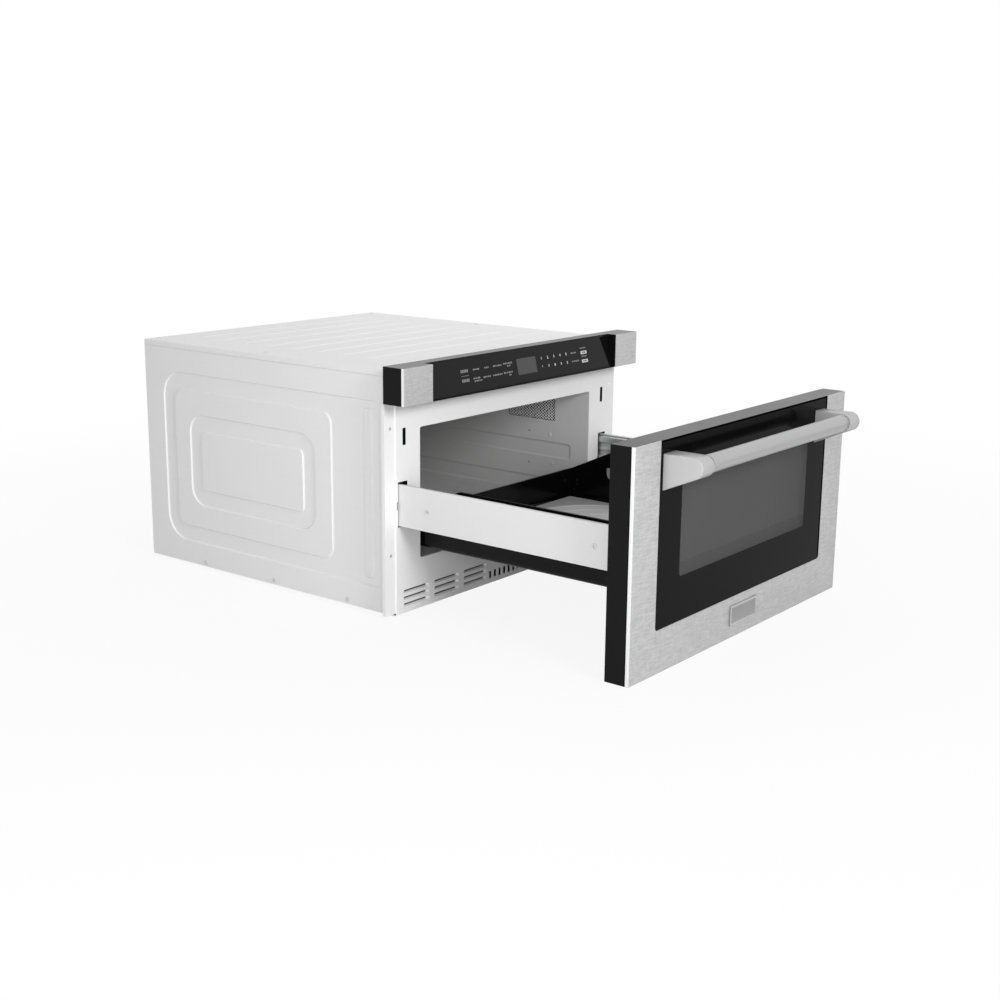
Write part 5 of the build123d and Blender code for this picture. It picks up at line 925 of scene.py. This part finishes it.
# The tray's glazed middle has rounded corners and shallow steps. The rim round the middle is painted darker: painted
# shade.
glaze_shade_fx, socket = effect("tray_glaze_shade", Rim=0.66)
axis = add(glaze_shade_fx, "ShaderNodeSeparateXYZ", {0: socket["Vector"]}).outputs
# Painted shade: outside the rounded middle the tone drops to the rim value.
body = ramp(glaze_shade_fx, past_oblong(glaze_shade_fx, axis[0], axis[1], -0.182, 0.069, 0.060), 0.122, 0.126, 1.0, socket["Rim"])
add(glaze_shade_fx, "NodeGroupOutput", {"Shade": body, "Rough": 0.0, "Height": body})
ceramic = finish("tray_ceramic", 0.93, 0.35, glaze_shade_fx, {}, 0.4, 0.0006, IOR=1.4)
lowest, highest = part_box("floor_tray")
foot_z, top_z = lowest.z / MM, highest.z / MM
bm = bmesh.new()
skin_loops(bm, [[(x, y, z) for x, y in ring(lowest.x / MM, highest.x / MM, lowest.y / MM, highest.y / MM, 6, 6, inset)]
                for inset, z in ((0.0, foot_z), (0.0, top_z - 0.8), (0.8, top_z))])
bmesh.ops.recalc_face_normals(bm, faces=bm.faces)
tray = piece("tray", bm, ceramic, 30.0)
steps, socket = recipe("tray_steps", Count=3, Length=0.36, Depth=0.34, Pitch=0.05, Corner=0.3, Width=0.004,
                       Height=0.0006, Finish="Material", Centre=NOWHERE)
spots = add(steps, "GeometryNodeMeshLine", {"Count": socket["Count"], "Offset": NOWHERE}, mode="OFFSET")
index = add(steps, "GeometryNodeInputIndex")
drawn = calc(steps, "MULTIPLY", index.outputs[0], socket["Pitch"])
length, depth = [calc(steps, "SUBTRACT", socket[span], drawn) for span in ("Length", "Depth")]
unit = add(steps, "GeometryNodeCurvePrimitiveQuadrilateral", {"Width": 1.0, "Height": 1.0}, mode="RECTANGLE")
unit = add(steps, "GeometryNodeFilletCurve", {"Curve": unit.outputs[0], "Radius": socket["Corner"], "Count": 16},
           mode="POLY")
scale = add(steps, "ShaderNodeCombineXYZ", {0: length, 1: depth, 2: 1.0})
loops = add(steps, "GeometryNodeInstanceOnPoints", {"Points": spots.outputs[0], "Instance": unit.outputs[0],
                                                    "Scale": scale.outputs[0]})
loose = add(steps, "GeometryNodeRealizeInstances", {"Geometry": loops.outputs[0]})
section = add(steps, "GeometryNodeCurvePrimitiveCircle", {"Resolution": 10, "Radius": 1.0}, mode="RADIUS")
shape = add(steps, "ShaderNodeCombineXYZ", {0: socket["Width"], 1: socket["Height"], 2: 1.0})
section = add(steps, "GeometryNodeTransform", {"Geometry": section.outputs[0], "Scale": shape.outputs[0]})
swept = add(steps, "GeometryNodeCurveToMesh", {"Curve": loose.outputs[0], "Profile Curve": section.outputs[0]})
moved = add(steps, "GeometryNodeTransform", {"Geometry": swept.outputs[0], "Translation": socket["Centre"]})
close_recipe(steps, socket, moved.outputs[0])
grow(tray, steps, 30.0, Count=3, Length=0.378, Depth=0.360, Pitch=0.052, Corner=0.32, Width=0.004, Height=0.0006,
     Finish=ceramic, Centre=(0.0, (lowest.y + highest.y) / 2, highest.z))
settle(tray, "drawer", "ceramic", "floor_tray")

# -------- screws
# Zinc-plated pan-head screws with a cross recess: four in the cover, six in the base's
# sides, four in the rails.
HEAD_R, HEAD_H = 4.2, 1.6
bm = bmesh.new()
skin_loops(bm, [[(x, y, high) for x, y in circle(radius, 24)] for radius, high in (
    (HEAD_R, 0.0), (HEAD_R, 0.5), (HEAD_R - 0.25, 1.05), (HEAD_R - 0.9, 1.45), (HEAD_R - 1.8, HEAD_H),
    (0.8, HEAD_H + 0.02))])
bmesh.ops.holes_fill(bm, edges=[edge for edge in bm.edges if len(edge.link_faces) == 1])
bmesh.ops.recalc_face_normals(bm, faces=bm.faces)
plated = spangled("plated_screw", (0.72, 0.72, 0.73), 0.32, 900.0, 0.12, 0.05, 0.0001, Metallic=0.6)
head = piece("screw_form", bm, plated)
bm = bmesh.new()
for turn in (0.0, 90.0):
    slot = bmesh.ops.create_cube(bm, size=1.0)["verts"]
    bmesh.ops.transform(bm, matrix=Matrix.Translation(mm(0, 0, 1.5)) @ Matrix.Rotation(radians(turn), 4, "Z")
                        @ Matrix.Diagonal((*mm(5.0, 1.1, 2.0), 1)), verts=slot)
cross = piece("cross_form", bm, plated)
cut = head.modifiers.new("recess", "BOOLEAN")
cut.object, cut.operation, cut.solver, cut.use_self = cross, "DIFFERENCE", "EXACT", True
harden(head, 30.0)
bpy.data.objects.remove(cross)

screws, socket = recipe("screw_heads", Form="Object", Finish="Material")
form = add(screws, "GeometryNodeObjectInfo", {"Object": socket["Form"]})
out = add(screws, "GeometryNodeInputNamedAttribute", {"Name": "out"}, data_type="FLOAT_VECTOR")
turn = add(screws, "FunctionNodeAlignRotationToVector", {"Vector": out.outputs["Attribute"]}, axis="Z")
many = add(screws, "GeometryNodeInstanceOnPoints", {"Points": socket["Geometry"], "Instance": form.outputs["Geometry"],
                                                    "Rotation": turn.outputs[0]})
close_recipe(screws, socket, many.outputs[0], own=False)
for name, body, node, spots in (
        ("cover_screws", "cabinet", "top_screws", [(s * 262, y, 372, 0, 0, 1) for s in (-1, 1) for y in (285, 548)]),
        ("foot_screws", "cabinet", "base_screws", [(s * 280, y, 8, s, 0, 0) for s in (-1, 1) for y in (98, 261, 426)]),
        ("runner_screws", "drawer", "rail_screws",
         [(s * 270, y, 169.5, s, 0, 0) for s in (-1, 1) for y in (-353.4, -57.7)])):
    dots = bpy.data.meshes.new(name)
    dots.from_pydata([mm(x, y, z) for x, y, z, *_ in spots], [], [])
    outward = dots.attributes.new("out", "FLOAT_VECTOR", "POINT")
    for entry, spot in zip(outward.data, spots):
        entry.vector = spot[3:]
    group = bpy.data.objects.new(name, dots)
    scene.collection.objects.link(group)
    grow(group, screws, 30.0, Form=head, Finish=plated)
    settle(group, body, "screw", node)
bpy.data.objects.remove(head)
